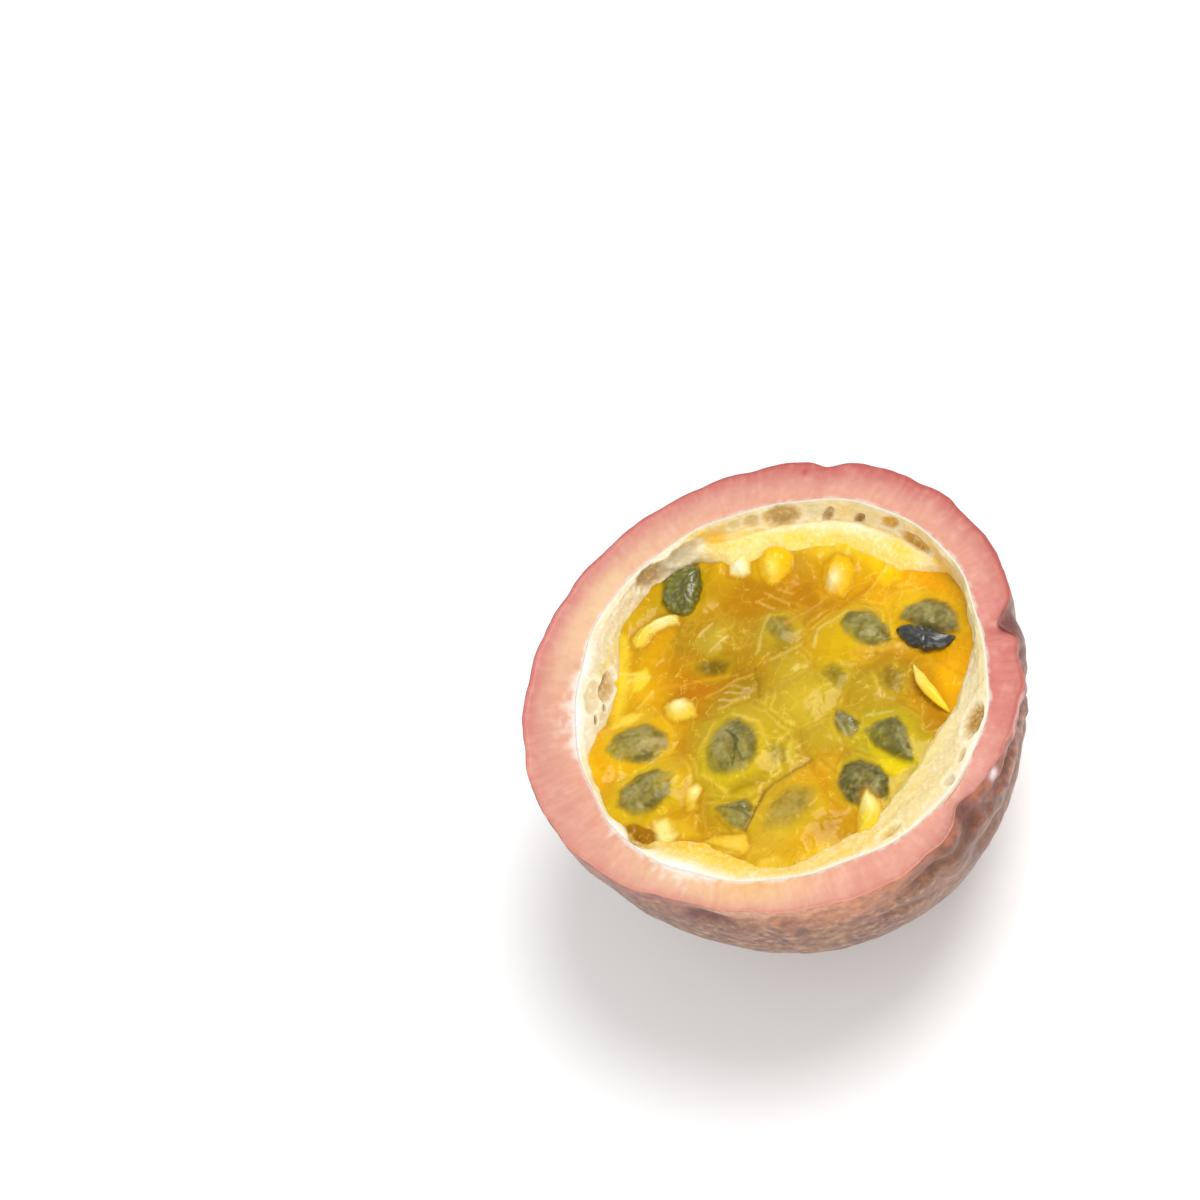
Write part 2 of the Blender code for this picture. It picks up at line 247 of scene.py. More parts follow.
def finish_piece(name, mesh, points, materials, node=None):
    """Set a mesh down at the height of the cut, give it its materials and tie it to the fruit."""
    points = points + np.array((0, 0, CUT_HEIGHT))
    mesh.vertices.foreach_set("co", points.astype(np.float32).ravel())
    mesh.update()
    bm = bmesh.new()
    bm.from_mesh(mesh)
    bmesh.ops.recalc_face_normals(bm, faces=bm.faces[:])
    bm.to_mesh(mesh)
    bm.free()
    mesh.name = name
    mesh.shade_smooth()
    for one in materials:
        mesh.materials.append(one)
    piece = bpy.data.objects.new(name, mesh)
    bpy.context.scene.collection.objects.link(piece)
    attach(piece, "root")
    if node:
        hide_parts(node)


# The light is strong enough to keep the sheet white, so every colour is laid on this much darker
DARKER = 0.86
RIM_RADIUS = 25.8 * MM
SHELL_DEPTH = 27.3 * MM
FLESH_EDGE_RADIUS = 21.6 * MM
FLESH_FLOOR = 4.2 * MM
EDGE_WIDTH = 0.35 * MM
RIND_COLUMNS = 600
SKIN_ROWS = 112
EDGE_ROWS = 4
FACE_ROWS = 16
WALL_ROWS = 9

# Dry wrinkles that run down the skin from the cut: lobes round the fruit, depth, peak in degrees
WRINKLES = ((19, 0.13 * MM, 4), (27, 0.10 * MM, 9), (34, 0.06 * MM, 2), (61, 0.03 * MM, 3))
# Folds in the skin: turn in degrees, distance below the cut, half width in degrees,
# half height, depth, and how far the fold climbs for each degree round
FOLDS = (
    (345, 0.2 * MM, 4.0, 1.7 * MM, 2.2 * MM, 0),
    (340, 3.0 * MM, 1.5, 1.4 * MM, 0.8 * MM, 0.3 * MM),
    (350, 4.2 * MM, 1.6, 2.6 * MM, 0.6 * MM, 0),
    (330, 3.2 * MM, 9.0, 1.0 * MM, 1.1 * MM, 0.02 * MM),
    (336, 1.6 * MM, 5.0, 0.5 * MM, 0.6 * MM, -0.05 * MM),
    (312, 2.6 * MM, 11.0, 1.0 * MM, 1.3 * MM, 0.05 * MM),
    (303, 0.0 * MM, 9.0, 1.0 * MM, 1.1 * MM, 0),
    (289, 0.0 * MM, 5.0, 0.9 * MM, 0.7 * MM, 0),
    (296, 1.0 * MM, 4.5, 1.8 * MM, 1.2 * MM, 0),
    (283, 3.4 * MM, 10.0, 1.0 * MM, 0.9 * MM, -0.04 * MM),
    (322, 7.0 * MM, 13.0, 1.4 * MM, 1.0 * MM, 0.03 * MM),
    (300, 8.2 * MM, 10.0, 1.4 * MM, 0.8 * MM, -0.03 * MM),
    (226, 0.0 * MM, 13.0, 9.0 * MM, 0.5 * MM, 0),
    (231, 2.8 * MM, 6.0, 1.1 * MM, 0.8 * MM, 0.03 * MM),
    (52, 0.0 * MM, 3.0, 3.0 * MM, 0.6 * MM, 0),
    (248, 1.8 * MM, 3.0, 1.2 * MM, 0.5 * MM, 0),
    (251, 6.0 * MM, 1.6, 2.6 * MM, 0.5 * MM, 0),
    (272, 7.0 * MM, 7.0, 0.8 * MM, 0.5 * MM, 0.05 * MM),
    (301, 3.6 * MM, 1.4, 0.7 * MM, 0.7 * MM, 0),
)


def skin_radius(turn):
    """Radius of the cut edge of the skin."""
    radius = RIM_RADIUS + ripple(turn, 0.35 * MM, 1, 20) + ripple(turn, 0.45 * MM, 3, 42)
    return radius + ripple(turn, 0.2 * MM, 4, 18)


def dish(radius, depth, dip):
    """Reach of a dish that is an ellipse in section."""
    return 1 / np.hypot(np.cos(dip) / radius, np.sin(dip) / depth)


def skin_reach(turn, dip):
    """The outside of the fruit, with its wrinkles and folds."""
    reach = dish(skin_radius(turn), SHELL_DEPTH, dip)
    below = reach * np.sin(dip)
    reach = reach + 1.4 * MM * hill(apart(turn, 243), 55) * np.sin(2 * dip) ** 2
    shrunk = 0.55 + 1.1 * hill(apart(turn, 312), 42)
    for lobes, height, peak in WRINKLES:
        reach = reach + ripple(turn, height, lobes, peak) * shrunk * hill(below, 9 * MM)
    for place, drop, half_width, half_height, depth, climb in FOLDS:
        off = apart(turn, place)
        reach = reach - depth * hill(off, half_width) * hill(below - drop - climb * off, half_height)
    return reach


def flesh_radius(turn):
    """Radius of the inner edge of the pink flesh on the cut face."""
    radius = FLESH_EDGE_RADIUS + ripple(turn, 1.2 * MM, 1, -30) + ripple(turn, 0.25 * MM, 4, 28)
    radius = radius - 0.8 * MM * hill(apart(turn, 345), 28)
    return radius + ripple(turn, 0.1 * MM, 9, 5) + ripple(turn, 0.07 * MM, 17, 3)


def liner_radius(turn, below):
    """Radius of the inside of the flesh at a distance below the cut."""
    depth = SHELL_DEPTH - FLESH_FLOOR
    return flesh_radius(turn) * np.sqrt(np.maximum(0, 1 - (below / depth) ** 2))


rind_rows = SKIN_ROWS + EDGE_ROWS + FACE_ROWS + WALL_ROWS
rind_mesh = ring_stack(RIND_COLUMNS, rind_rows)
turn, row = turns_and_rows(rind_mesh)
outward = np.column_stack((np.cos(turn), np.sin(turn), np.zeros(len(turn))))

# Up the skin, with the rings closer together towards the cut
share = np.clip(row / (SKIN_ROWS - 1), 0, 1)
dip = math.pi / 2 * (0.4 * (1 - share) + 0.6 * (1 - share) ** 2)
reach = skin_reach(turn, dip)
skin = outward * (reach * np.cos(dip))[:, None]
skin[:, 2] = -reach * np.sin(dip)
rough = lumps(skin, 2.6 * MM, 1) * 0.10 * MM + lumps(skin, 1.1 * MM, 2) * 0.05 * MM
rough = rough + lumps(skin, 6.0 * MM, 3) * 0.12 * MM
crumpled = hill(apart(turn, 314), 26) * hill(-skin[:, 2] - 3.5 * MM, 3.5 * MM)
ridges = lumps(skin, 1.9 * MM, 18)
rough = rough + crumpled * (ridges * 0.5 * MM + lumps(skin, 0.9 * MM, 19) * 0.22 * MM)
skin = skin * (1 + rough / np.maximum(reach, MM))[:, None]
# The foot is pressed flat where it rests
skin[:, 2] = np.maximum(skin[:, 2], -CUT_HEIGHT)

# Over the cut edge and across the flesh, which has shrunk back a little from the skin
edge_radius = skin_reach(turn, np.zeros(len(turn)))
edge_radius = edge_radius + 0.06 * MM * lumps(outward * MEASURED_RADIUS, 1.3 * MM, 4)
inner_radius = flesh_radius(turn)
face_share = np.clip((row - SKIN_ROWS + 1) / (EDGE_ROWS + FACE_ROWS), 0, 1)
edge_share = EDGE_ROWS / (EDGE_ROWS + FACE_ROWS)
from_skin = np.where(face_share < edge_share, EDGE_WIDTH * face_share / edge_share,
                     EDGE_WIDTH + (edge_radius - inner_radius - EDGE_WIDTH)
                     * (face_share - edge_share) / (1 - edge_share))
face = outward * (edge_radius - from_skin)[:, None]
sunk = 0.16 * MM * step(from_skin, 0.12 * MM, 0.4 * MM)
sunk = sunk + 0.10 * MM * hill(from_skin - 1.6 * MM, 1.0 * MM)
uneven = lumps(face, 1.6 * MM, 5) * 0.05 * MM + lumps(face, 4.5 * MM, 6) * 0.09 * MM
uneven = uneven * step(edge_radius - inner_radius - from_skin, 0.1 * MM, 1.2 * MM)
# Beside the deep folds the edge of the skin curls down
curl = 0.7 * MM * hill(apart(turn, 345), 4) + 0.6 * MM * hill(apart(turn, 303), 9)
curl = curl + 0.35 * MM * hill(apart(turn, 228), 12)
face[:, 2] = -sunk + uneven * step(from_skin, 0.2 * MM, 0.6 * MM) - curl * hill(from_skin, 1.3 * MM)

# Down the inside, which the pith covers
wall_share = np.clip((row - SKIN_ROWS - EDGE_ROWS - FACE_ROWS + 1) / WALL_ROWS, 0, 1)
wall_dip = math.pi / 2 * wall_share ** 1.3
wall_radius = inner_radius + 1.5 * MM * step(wall_dip, 0, 0.1)
wall_reach = dish(wall_radius, SHELL_DEPTH - 0.6 * FLESH_FLOOR, wall_dip)
wall = outward * (wall_reach * np.cos(wall_dip))[:, None]
wall[:, 2] = -wall_reach * np.sin(wall_dip) - 0.1 * MM

on_skin = row < SKIN_ROWS
on_face = ~on_skin & (row < SKIN_ROWS + EDGE_ROWS + FACE_ROWS)
rind = np.where(on_skin[:, None], skin, np.where(on_face[:, None], face, wall))
last_skin = row == SKIN_ROWS - 1
rind[last_skin] = face[last_skin]
rind[:, 2] = np.where(last_skin, rind[:, 2] - 0.03 * MM, rind[:, 2])

# Colour of the cut flesh: rose by the skin, salmon, then paler, and peach on two sides
far_side = step(hill(apart(turn, 65), 100), 0.12, 0.7)
band = np.tile(linear("DA9A89"), (len(turn), 1))
band = tinted(band, "D07F72", hill(from_skin, 1.0 * MM) * (0.35 + 0.5 * far_side))
from_pith = edge_radius - inner_radius - from_skin
band = tinted(band, "C05F58", hill(apart(turn, 45), 42) * hill(from_skin, 1.5 * MM) * 0.9)
band = tinted(band, "D07A70", hill(apart(turn, 152), 20) * hill(from_skin, 1.3 * MM) * 0.7)
band = tinted(band, "E4A389", step(from_skin / (from_skin + from_pith), 0.35, 0.95) * 0.85)
peach = hill(apart(turn, 122), 30) * step(from_skin, 0.8 * MM, 3.2 * MM)
peach = np.maximum(peach, hill(apart(turn, 236), 30) * step(from_skin, -0.6 * MM, 2.4 * MM))
band = tinted(band, "EEC79C", peach)
band = tinted(band, "DF9684", hill(apart(turn, 272), 16) * 0.7)
band = tinted(band, "F2BA74", hill(apart(turn, 241), 12) * hill(from_pith, 1.8 * MM) * 0.8)
peeled = hill(apart(turn, 292), 7) * step(-from_skin, -1.3 * MM, -0.7 * MM)
band = tinted(band, "8E5B47", peeled * 0.35)
rosy = hill(apart(turn, 334), 26) * hill(from_pith, 5.5 * MM)
band = tinted(band, "CE7068", rosy * 0.92)
band = tinted(band, "CB6F66", hill(apart(turn, 40), 34) * hill(from_skin, 1.3 * MM) * 0.6)
mottle = lumps(rind, 1.3 * MM, 8) * 0.5 + lumps(rind, 0.6 * MM, 9) * 0.5
band = tinted(band, "F3C4B0", np.clip(mottle, 0, 1) * 0.5)
band = tinted(band, "CF7A70", np.clip(-mottle, 0, 1) * 0.4)
streaks = lumps(np.column_stack((outward[:, :2] * MEASURED_RADIUS, from_skin * 0.12)), 0.55 * MM, 34)
band = tinted(band, "F4CDB6", np.clip(streaks, 0, 1) * 0.16)
band = tinted(band, "C9756A", np.clip(-streaks, 0, 1) * 0.1)
fluff = 0.18 + 0.8 * hill(apart(turn, 158), 14) + 0.7 * hill(apart(turn, 221), 10)
fluff = fluff + 0.35 * hill(apart(turn, 198), 5)
torn = np.clip(lumps(rind, 0.9 * MM, 10) + 0.5 * lumps(rind, 0.4 * MM, 7), -0.6, 1)
band = tinted(band, "FBEFE4", hill(from_pith / (1 + 1.3 * torn), fluff * MM) * 0.85)
crimson = hill(from_skin - 0.03 * MM, 0.18 * MM) * (0.1 + 0.9 * far_side)
band = tinted(band, "A8444A", crimson * 0.85)
red_dot = np.hypot(*(seen(rind) - np.array((13.5, 21.0))).T)
band = tinted(band, "C4424E", hill(red_dot, 0.45) * 0.8)
keep_colour(rind_mesh, "flesh_colour", band * DARKER)
fibres = outward * MEASURED_RADIUS
fibres[:, 2] = from_skin * 0.22
keep_numbers(rind_mesh, "fibres", "FLOAT_VECTOR", fibres)

# How much the skin is creased and how near it is to the cut
pinched = np.zeros(len(turn))
below = -rind[:, 2]
for place, drop, half_width, half_height, depth, climb in FOLDS:
    off = apart(turn, place)
    pinched = pinched + depth / MM * hill(off, half_width) * hill(below - drop - climb * off, half_height)
keep_numbers(rind_mesh, "creased", "FLOAT", np.clip(pinched, 0, 1))
# Marks painted on the skin, with painted shade in the deep pits at 345 and 296 degrees and one
# painted highlight: turn, distance below the cut, half width, half height, strength, colour
SKIN_MARKS_SHADE_AND_GLINT = (
    (302, 8.0 * MM, 28, 4.6 * MM, 0.6, "8A543E"),
    (262, 3.2 * MM, 10, 1.4 * MM, 0.6, "C98468"),
    (258, 2.0 * MM, 32, 2.2 * MM, 0.6, "CC8048"),
    (244, 0.2 * MM, 20, 1.5 * MM, 0.9, "E2AE8C"),
    (275, 0.2 * MM, 22, 1.2 * MM, 0.85, "D07E50"),
    (205, 0.2 * MM, 20, 0.5 * MM, 0.6, "B5605C"),
    # Painted shade in the deep pit of the fold at 345 degrees
    (345, 1.6 * MM, 4.5, 1.6 * MM, 0.85, "773A33"),
    (340, 4.2 * MM, 5, 1.6 * MM, 0.6, "8A4A42"),
    (350, 5.0 * MM, 3, 2.4 * MM, 0.5, "B98A6A"),
    (318, 2.2 * MM, 12, 1.1 * MM, 0.75, "8E5348"),
    (322, 0.4 * MM, 7, 0.5 * MM, 0.8, "E3A898"),
    # Painted shade in the round pit of the fold at 296 degrees
    (296, 1.6 * MM, 3, 1.3 * MM, 0.85, "713A36"),
    (301, 3.2 * MM, 5, 1.0 * MM, 0.6, "9A5E50"),
    # A painted highlight: a small wet glint on the skin below the cut
    (306, 0.5 * MM, 1.2, 0.35 * MM, 0.9, "FFF4F0"),
    (310, 5.5 * MM, 9, 1.2 * MM, 0.5, "B5876A"),
    (285, 1.2 * MM, 7, 0.8 * MM, 0.6, "A55F57"),
    (229, 3.0 * MM, 6, 1.4 * MM, 0.7, "6A363C"),
    (219, 1.0 * MM, 6, 0.8 * MM, 0.5, "8E4A4A"),
    (250, 2.6 * MM, 3, 1.4 * MM, 0.5, "8E4F4C"),
    (280, 2.2 * MM, 7, 1.8 * MM, 0.8, "84482A"),
    (288, 3.0 * MM, 6, 2.0 * MM, 0.8, "6E4018"),
    (324, 3.9 * MM, 4, 0.9 * MM, 0.7, "D3A294"),
    (294, 4.0 * MM, 6, 2.2 * MM, 0.8, "7A3C1C"),
)
ragged = 1 + 0.5 * lumps(rind, 1.2 * MM, 17)
skin_paint = np.zeros((len(turn), 4))
for place, drop, half_width, half_height, strength, tint in SKIN_MARKS_SHADE_AND_GLINT:
    share = strength * hill(apart(turn, place) * ragged, half_width)
    share = share * hill((below - drop) * ragged, half_height)
    kept = skin_paint[:, 3] * (1 - share)
    whole = np.maximum(kept + share, 1e-6)
    skin_paint[:, :3] = tinted(skin_paint[:, :3], tint, share / whole)
    skin_paint[:, 3] = whole
# Painted light and shade on the crumpled skin: its ridges are painted paler and the creases between them
# darker
skin_paint[:, :3] *= (1 + crumpled * np.clip(1.8 * ridges, -0.6, 0.35))[:, None]
keep_numbers(rind_mesh, "skin_paint", "FLOAT_COLOR", skin_paint)
keep_numbers(rind_mesh, "near_cut", "FLOAT", hill(below, 2.2 * MM))


def noise_of(tree, place, size, detail=2, roughness=0.5, distortion=0.0):
    """Noise from 0 to 1 with lumps of about the given size."""
    made = add(tree, "TexNoise", {}, {"Vector": place, "Scale": 1 / size, "Detail": detail,
                                      "Roughness": roughness, "Distortion": distortion})
    return made.outputs["Fac"]


def spread(tree, value, low, high, bottom=0.0, top=1.0):
    """A value between low and high, spread from bottom to top."""
    return add(tree, "MapRange", {}, {"Value": value, "From Min": low, "From Max": high, "To Min": bottom,
                                      "To Max": top}).outputs["Result"]


def combined(tree, operation, first, second=0.0):
    """One step of arithmetic with one or two values."""
    return add(tree, "Math", {"operation": operation}, {0: first, 1: second}).outputs[0]


def laid_over(tree, under, tint, share):
    """A colour given as sRGB hex, laid over another by a share."""
    return add(tree, "Mix", {"data_type": "RGBA"}, {0: share, 6: under, 7: (*linear(tint), 1)}).outputs[2]


def kept_in_mesh(tree, name, output="Color"):
    """The values that the mesh keeps at its points under a name."""
    return add(tree, "Attribute", {"attribute_name": name}).outputs[output]


def relief_of(tree, height, depth, strength):
    """Fine relief of a real depth, which only turns the light."""
    made = add(tree, "Bump", {}, {"Strength": strength, "Distance": depth, "Height": height})
    return made.outputs["Normal"]


def give_surface(tree, colour, roughness, relief, more):
    """Close a material with its surface."""
    shader = add(tree, "BsdfPrincipled", {}, {
        "Base Color": colour, "Roughness": roughness, "Normal": relief, **more})
    add(tree, "OutputMaterial", {}, {"Surface": shader.outputs["BSDF"]})


# Ripe skin: thin, waxy and dried, so it has a dull sheen with freckles of cork and purple dents
skin_material, tree = new_material("dried_waxy_skin")
place = add(tree, "TexCoord").outputs["Object"]
cloud = add(tree, "ValToRGB", {}, {"Fac": noise_of(tree, place, 5.5 * MM, 5, 0.6)})
cloud.color_ramp.elements[0].position = 0.34
cloud.color_ramp.elements[0].color = (*linear("6C3F3B"), 1)
cloud.color_ramp.elements[1].position = 0.66
cloud.color_ramp.elements[1].color = (*linear("9A6B49"), 1)
cloud.color_ramp.elements.new(0.5).color = (*linear("865440"), 1)
stretch = noise_of(tree, place, 1.0 * MM, 4, 0.65)
tan = laid_over(tree, cloud.outputs["Color"], "B08562", spread(tree, stretch, 0.42, 0.68))
wobble = add(tree, "TexNoise", {}, {"Vector": place, "Scale": 1 / (0.8 * MM), "Detail": 3})
moved = add(tree, "MixRGB", {"blend_type": "ADD"}, {"Fac": 0.0006, "Color1": place,
                                                    "Color2": wobble.outputs["Color"]})
freckle = add(tree, "TexVoronoi", {}, {"Vector": moved.outputs["Color"], "Scale": 1 / (1.5 * MM)})
spots = spread(tree, freckle.outputs["Distance"], 0.30, 0.16, 0.0, 0.5)
freckled = laid_over(tree, tan, "C9A780", spots)
dents = spread(tree, noise_of(tree, place, 2.4 * MM, 5, 0.7), 0.6, 0.72, 0.0, 0.7)
purple = laid_over(tree, freckled, "5A3237", dents)
# Painted shade: the creases of the skin's folds are painted darker
fold_shade_share = combined(tree, "MULTIPLY", kept_in_mesh(tree, "creased", "Fac"), 0.55)
fold_shaded = laid_over(tree, purple, "6C3A35", fold_shade_share)
by_cut = combined(tree, "MULTIPLY", kept_in_mesh(tree, "near_cut", "Fac"), 0.6)
blushed = laid_over(tree, fold_shaded, "A9594F", by_cut)
paint = add(tree, "Attribute", {"attribute_name": "skin_paint"})
painted = add(tree, "Mix", {"data_type": "RGBA"}, {0: paint.outputs["Alpha"], 6: blushed,
                                                   7: paint.outputs["Color"]})
speckle = spread(tree, stretch, 0.36, 0.64, DARKER * 0.7, DARKER * 1.14)
speckled = add(tree, "Mix", {"data_type": "RGBA", "blend_type": "MULTIPLY"}, {
    0: 1.0, 6: painted.outputs[2], 7: speckle})
pores = noise_of(tree, place, 0.35 * MM, 3, 0.6)
relief = relief_of(tree, combined(tree, "ADD", pores, stretch), 0.12 * MM, 0.55)
give_surface(tree, speckled.outputs[2], spread(tree, stretch, 0.0, 1.0, 0.34, 0.55), relief,
             {"Coat Weight": 0.15, "Coat Roughness": 0.3})

# Cut flesh: juicy and a little translucent, with fine fibres that run from the skin to the pith
flesh_material, tree = new_material("cut_moist_flesh")
strand = noise_of(tree, kept_in_mesh(tree, "fibres", "Vector"), 0.42 * MM, 3, 0.6)
lit = laid_over(tree, kept_in_mesh(tree, "flesh_colour"), "F6CDBB",
                spread(tree, strand, 0.5, 0.8, 0.0, 0.1))
shaded = laid_over(tree, lit, "CB7A6E", spread(tree, strand, 0.48, 0.25, 0.0, 0.08))
cells = noise_of(tree, add(tree, "TexCoord").outputs["Object"], 0.25 * MM)
relief = relief_of(tree, combined(tree, "ADD", cells, strand), 0.06 * MM, 0.5)
give_surface(tree, shaded, spread(tree, cells, 0.0, 1.0, 0.3, 0.5), relief, {
    "IOR": 1.36, "Subsurface Weight": 0.3, "Subsurface Radius": (1.0, 0.45, 0.3),
    "Subsurface Scale": 0.8 * MM})

finish_piece("rind", rind_mesh, rind, (skin_material, flesh_material), "shell")
skin_faces = np.zeros(len(rind_mesh.polygons), int)
for face_index, polygon in enumerate(rind_mesh.polygons):
    rows = [row[vertex] for vertex in polygon.vertices]
    skin_faces[face_index] = min(rows) >= SKIN_ROWS - 1
rind_mesh.polygons.foreach_set("material_index", skin_faces)

# The pith
# The white spongy liner between flesh and pulp, torn where the fruit was cut: open cells, a
# ledge of it hanging at the far right, a wide strip at the near right and a sponge at the left.
PITH_COLUMNS = 640
BACK_ROWS = 8
INSIDE_ROWS = 96
FLOOR_ROWS = 8
# Under the pulp: how far below the cut the liner's wall ends, how thick it is there, and how much
# deeper its floor goes
WALL_FOOT = 8 * MM
FOOT_THICKNESS = 4.5 * MM
FLOOR_DROP = 13 * MM
# How the inside runs: how far in from the flesh and how far below the cut, in mm, at even steps
PLAIN_RUN = ((-0.35, 0.32), (0.05, 0.06), (0.45, 0.5), (0.55, 1.0), (0.62, 1.5), (0.68, 2.0),
             (0.75, 2.6), (1.1, 4.2), (1.8, 8))
LEDGE_RUN = ((-0.35, 0.32), (0.05, 0.06), (0.5, 1.0), (0.7, 2.0), (1.1, 2.4), (1.7, 1.9), (2.9, 2.15),
             (4.0, 2.7), (4.8, 8))
STRIP_RUN = ((-0.35, 0.32), (0.05, 0.06), (1.4, 0.25), (2.3, 0.5), (3.2, 0.8), (4.7, 1.2), (5.5, 2.0),
             (5.8, 4), (6.0, 8))
RIGHT_RUN = ((-0.35, 0.32), (0.05, 0.06), (0.35, 0.5), (0.45, 1.0), (0.5, 1.6), (0.55, 2.3), (0.7, 3.2),
             (1.3, 5), (2, 8))
CORNER_RUN = ((-0.35, 0.32), (0.05, 0.06), (1.2, 0.25), (2.0, 0.4), (2.8, 0.6), (3.5, 0.9), (4.0, 1.6),
              (4.3, 3), (4.6, 8))
SPONGE_RUN = ((-0.35, 0.32), (0.05, 0.06), (1.1, 0.35), (1.8, 0.8), (2.6, 1.4), (3.3, 2.2), (3.7, 3.2),
              (3.9, 5), (4.0, 8))

# Cells torn open, as seen: x, y, half length along the rind, half width, depth, colour
CELLS = (
    (9.2, 17.3, 2.1, 1.4, 0.8, "CDA760"),
    (12.2, 16.0, 0.9, 1.0, 0.2, "EFE2B4"),
    (6.2, 18.6, 0.9, 0.8, 0.4, "E3C88C"),
    (4.4, 19.2, 0.7, 0.6, 0.25, "EED9A0"),
    (13.4, 14.9, 0.6, 0.95, 0.7, "C4A067"),
    (15.9, 12.6, 0.55, 0.7, 0.7, "BC8A3E"),
    (18.4, 10.5, 1.1, 0.7, 0.5, "DFA210"),
    (19.6, 7.0, 2.1, 0.6, 0.6, "D9A42A"),
    (-5.4, 18.3, 2.0, 1.3, 1.0, "CCA66C"),
    (-1.4, 19.0, 1.8, 1.1, 0.6, "EAD8AE"),
    (-14.5, 8.7, 1.9, 0.8, 1.0, "C69A50"),
    (-16.3, 8.6, 2.0, 0.9, 0.35, "E2CD9E"),
    (-17.0, 5.9, 0.6, 0.2, 0.5, "8C6A35"),
    (-15.7, 6.7, 0.5, 0.2, 0.4, "B08845"),
    (15.8, -14.5, 2.1, 0.85, 0.9, "AE7C12"),
    (-18.0, -8.8, 1.9, 1.0, 0.7, "B0740A"),
    (13.2, -17.4, 0.9, 0.3, 0.3, "C8A872"),
    (11.0, -19.2, 0.8, 0.5, 0.4, "CDBB8C"),
    (3.6, -21.1, 1.3, 0.5, 0.6, "D5B26C"),
)
# Stains and white patches, and a painted light on the right band of pith, as seen: x, y,
# half length along the rind, half width, strength, colour
PITH_STAINS_AND_PAINTED_LIGHT = (
    (2.0, 18.6, 1.4, 1.7, 0.95, "FAC41C"),
    (0.6, 20.2, 1.6, 0.6, 0.8, "F8CE48"),
    (3.8, 17.0, 2.4, 0.7, 0.8, "F9D23C"),
    (10.0, 13.6, 7.0, 1.3, 0.75, "F8DC5C"),
    (12.0, 11.2, 6.0, 1.0, 0.9, "F9D53C"),
    (20.9, 2.0, 7.5, 0.75, 0.9, "F8C83C"),
    # Painted light: the right band of pith faces away from the key lamp and is painted paler
    (20.6, -4.0, 7.0, 0.9, 0.8, "FBE6A6"),
    (-20.2, 0.0, 4.0, 0.6, 0.7, "F9D98C"),
    (-1.0, -21.0, 6.5, 0.9, 0.85, "F6CE50"),
    (-7.5, -19.6, 3.0, 0.8, 0.9, "F4C83A"),
    (7.4, -18.4, 0.5, 0.3, 0.8, "EDB832"),
    (6.0, -19.0, 4.0, 1.2, 0.5, "F4DC86"),
    (10.0, -15.8, 5.0, 0.8, 0.6, "F2DE7E"),
    (14.5, 16.2, 7.0, 0.5, 0.4, "F6D88C"),
    (19.4, -9.0, 5.0, 0.7, 0.5, "F0D890"),
    (16.8, 14.8, 0.9, 0.4, 0.8, "F2C048"),
    (-12.2, 12.6, 4.0, 0.7, 0.6, "F0D468"),
    (-20.3, -6.5, 1.5, 0.8, 0.9, "FBF5EE"),
    (-15.9, -13.9, 2.6, 0.75, 0.95, "FCF8F2"),
    (-18.7, 7.2, 3.4, 1.0, 0.95, "FCF8F2"),
    (-15.6, 12.4, 2.6, 0.7, 0.9, "FCF7EE"),
    (14.5, -17.3, 3.5, 0.7, 0.5, "F8F0DC"),
    (-13.6, -12.2, 4.0, 1.2, 0.95, "F9DA58"),
    (-11.6, -14.6, 2.6, 1.3, 0.9, "FADA4C"),
    (-15.9, -9.4, 1.2, 0.8, 0.9, "F8F0CC"),
    (-10.2, -17.0, 2.4, 1.4, 0.9, "F8D65A"),
    (18.2, 6.8, 2.4, 1.0, 0.9, "FBD01C"),
)


def along_run(run, share):
    """Read one run: how far in and how far below, in metres, at shares of its length."""
    stops = np.linspace(0, 1, len(run))
    inward, below = np.array(run).T
    return np.interp(share, stops, inward) * MM, np.interp(share, stops, below) * MM


def near(spots, x, y, half_along, half_across):
    """How far each seen spot is from a place, in parts of an oval laid along the rind there."""
    angle = math.atan2(y, x)
    off = spots - np.array((x, y))
    radial = off @ np.array((math.cos(angle), math.sin(angle)))
    round_rim = off @ np.array((-math.sin(angle), math.cos(angle)))
    return np.hypot(round_rim / half_along, radial / half_across)


pith_rows = BACK_ROWS + INSIDE_ROWS + FLOOR_ROWS
pith_mesh = ring_stack(PITH_COLUMNS, pith_rows)
turn, row = turns_and_rows(pith_mesh)
outward = np.column_stack((np.cos(turn), np.sin(turn), np.zeros(len(turn))))
back_dip = math.pi / 2 * (1 - np.clip(row / (BACK_ROWS - 1), 0, 1)) ** 1.2
back_reach = flesh_radius(turn) + 1.4 * MM * step(back_dip, 0, 0.1)
back_reach = dish(back_reach, SHELL_DEPTH - 0.65 * FLESH_FLOOR, back_dip)
back = outward * (back_reach * np.cos(back_dip))[:, None]
back[:, 2] = -back_reach * np.sin(back_dip) - 0.2 * MM

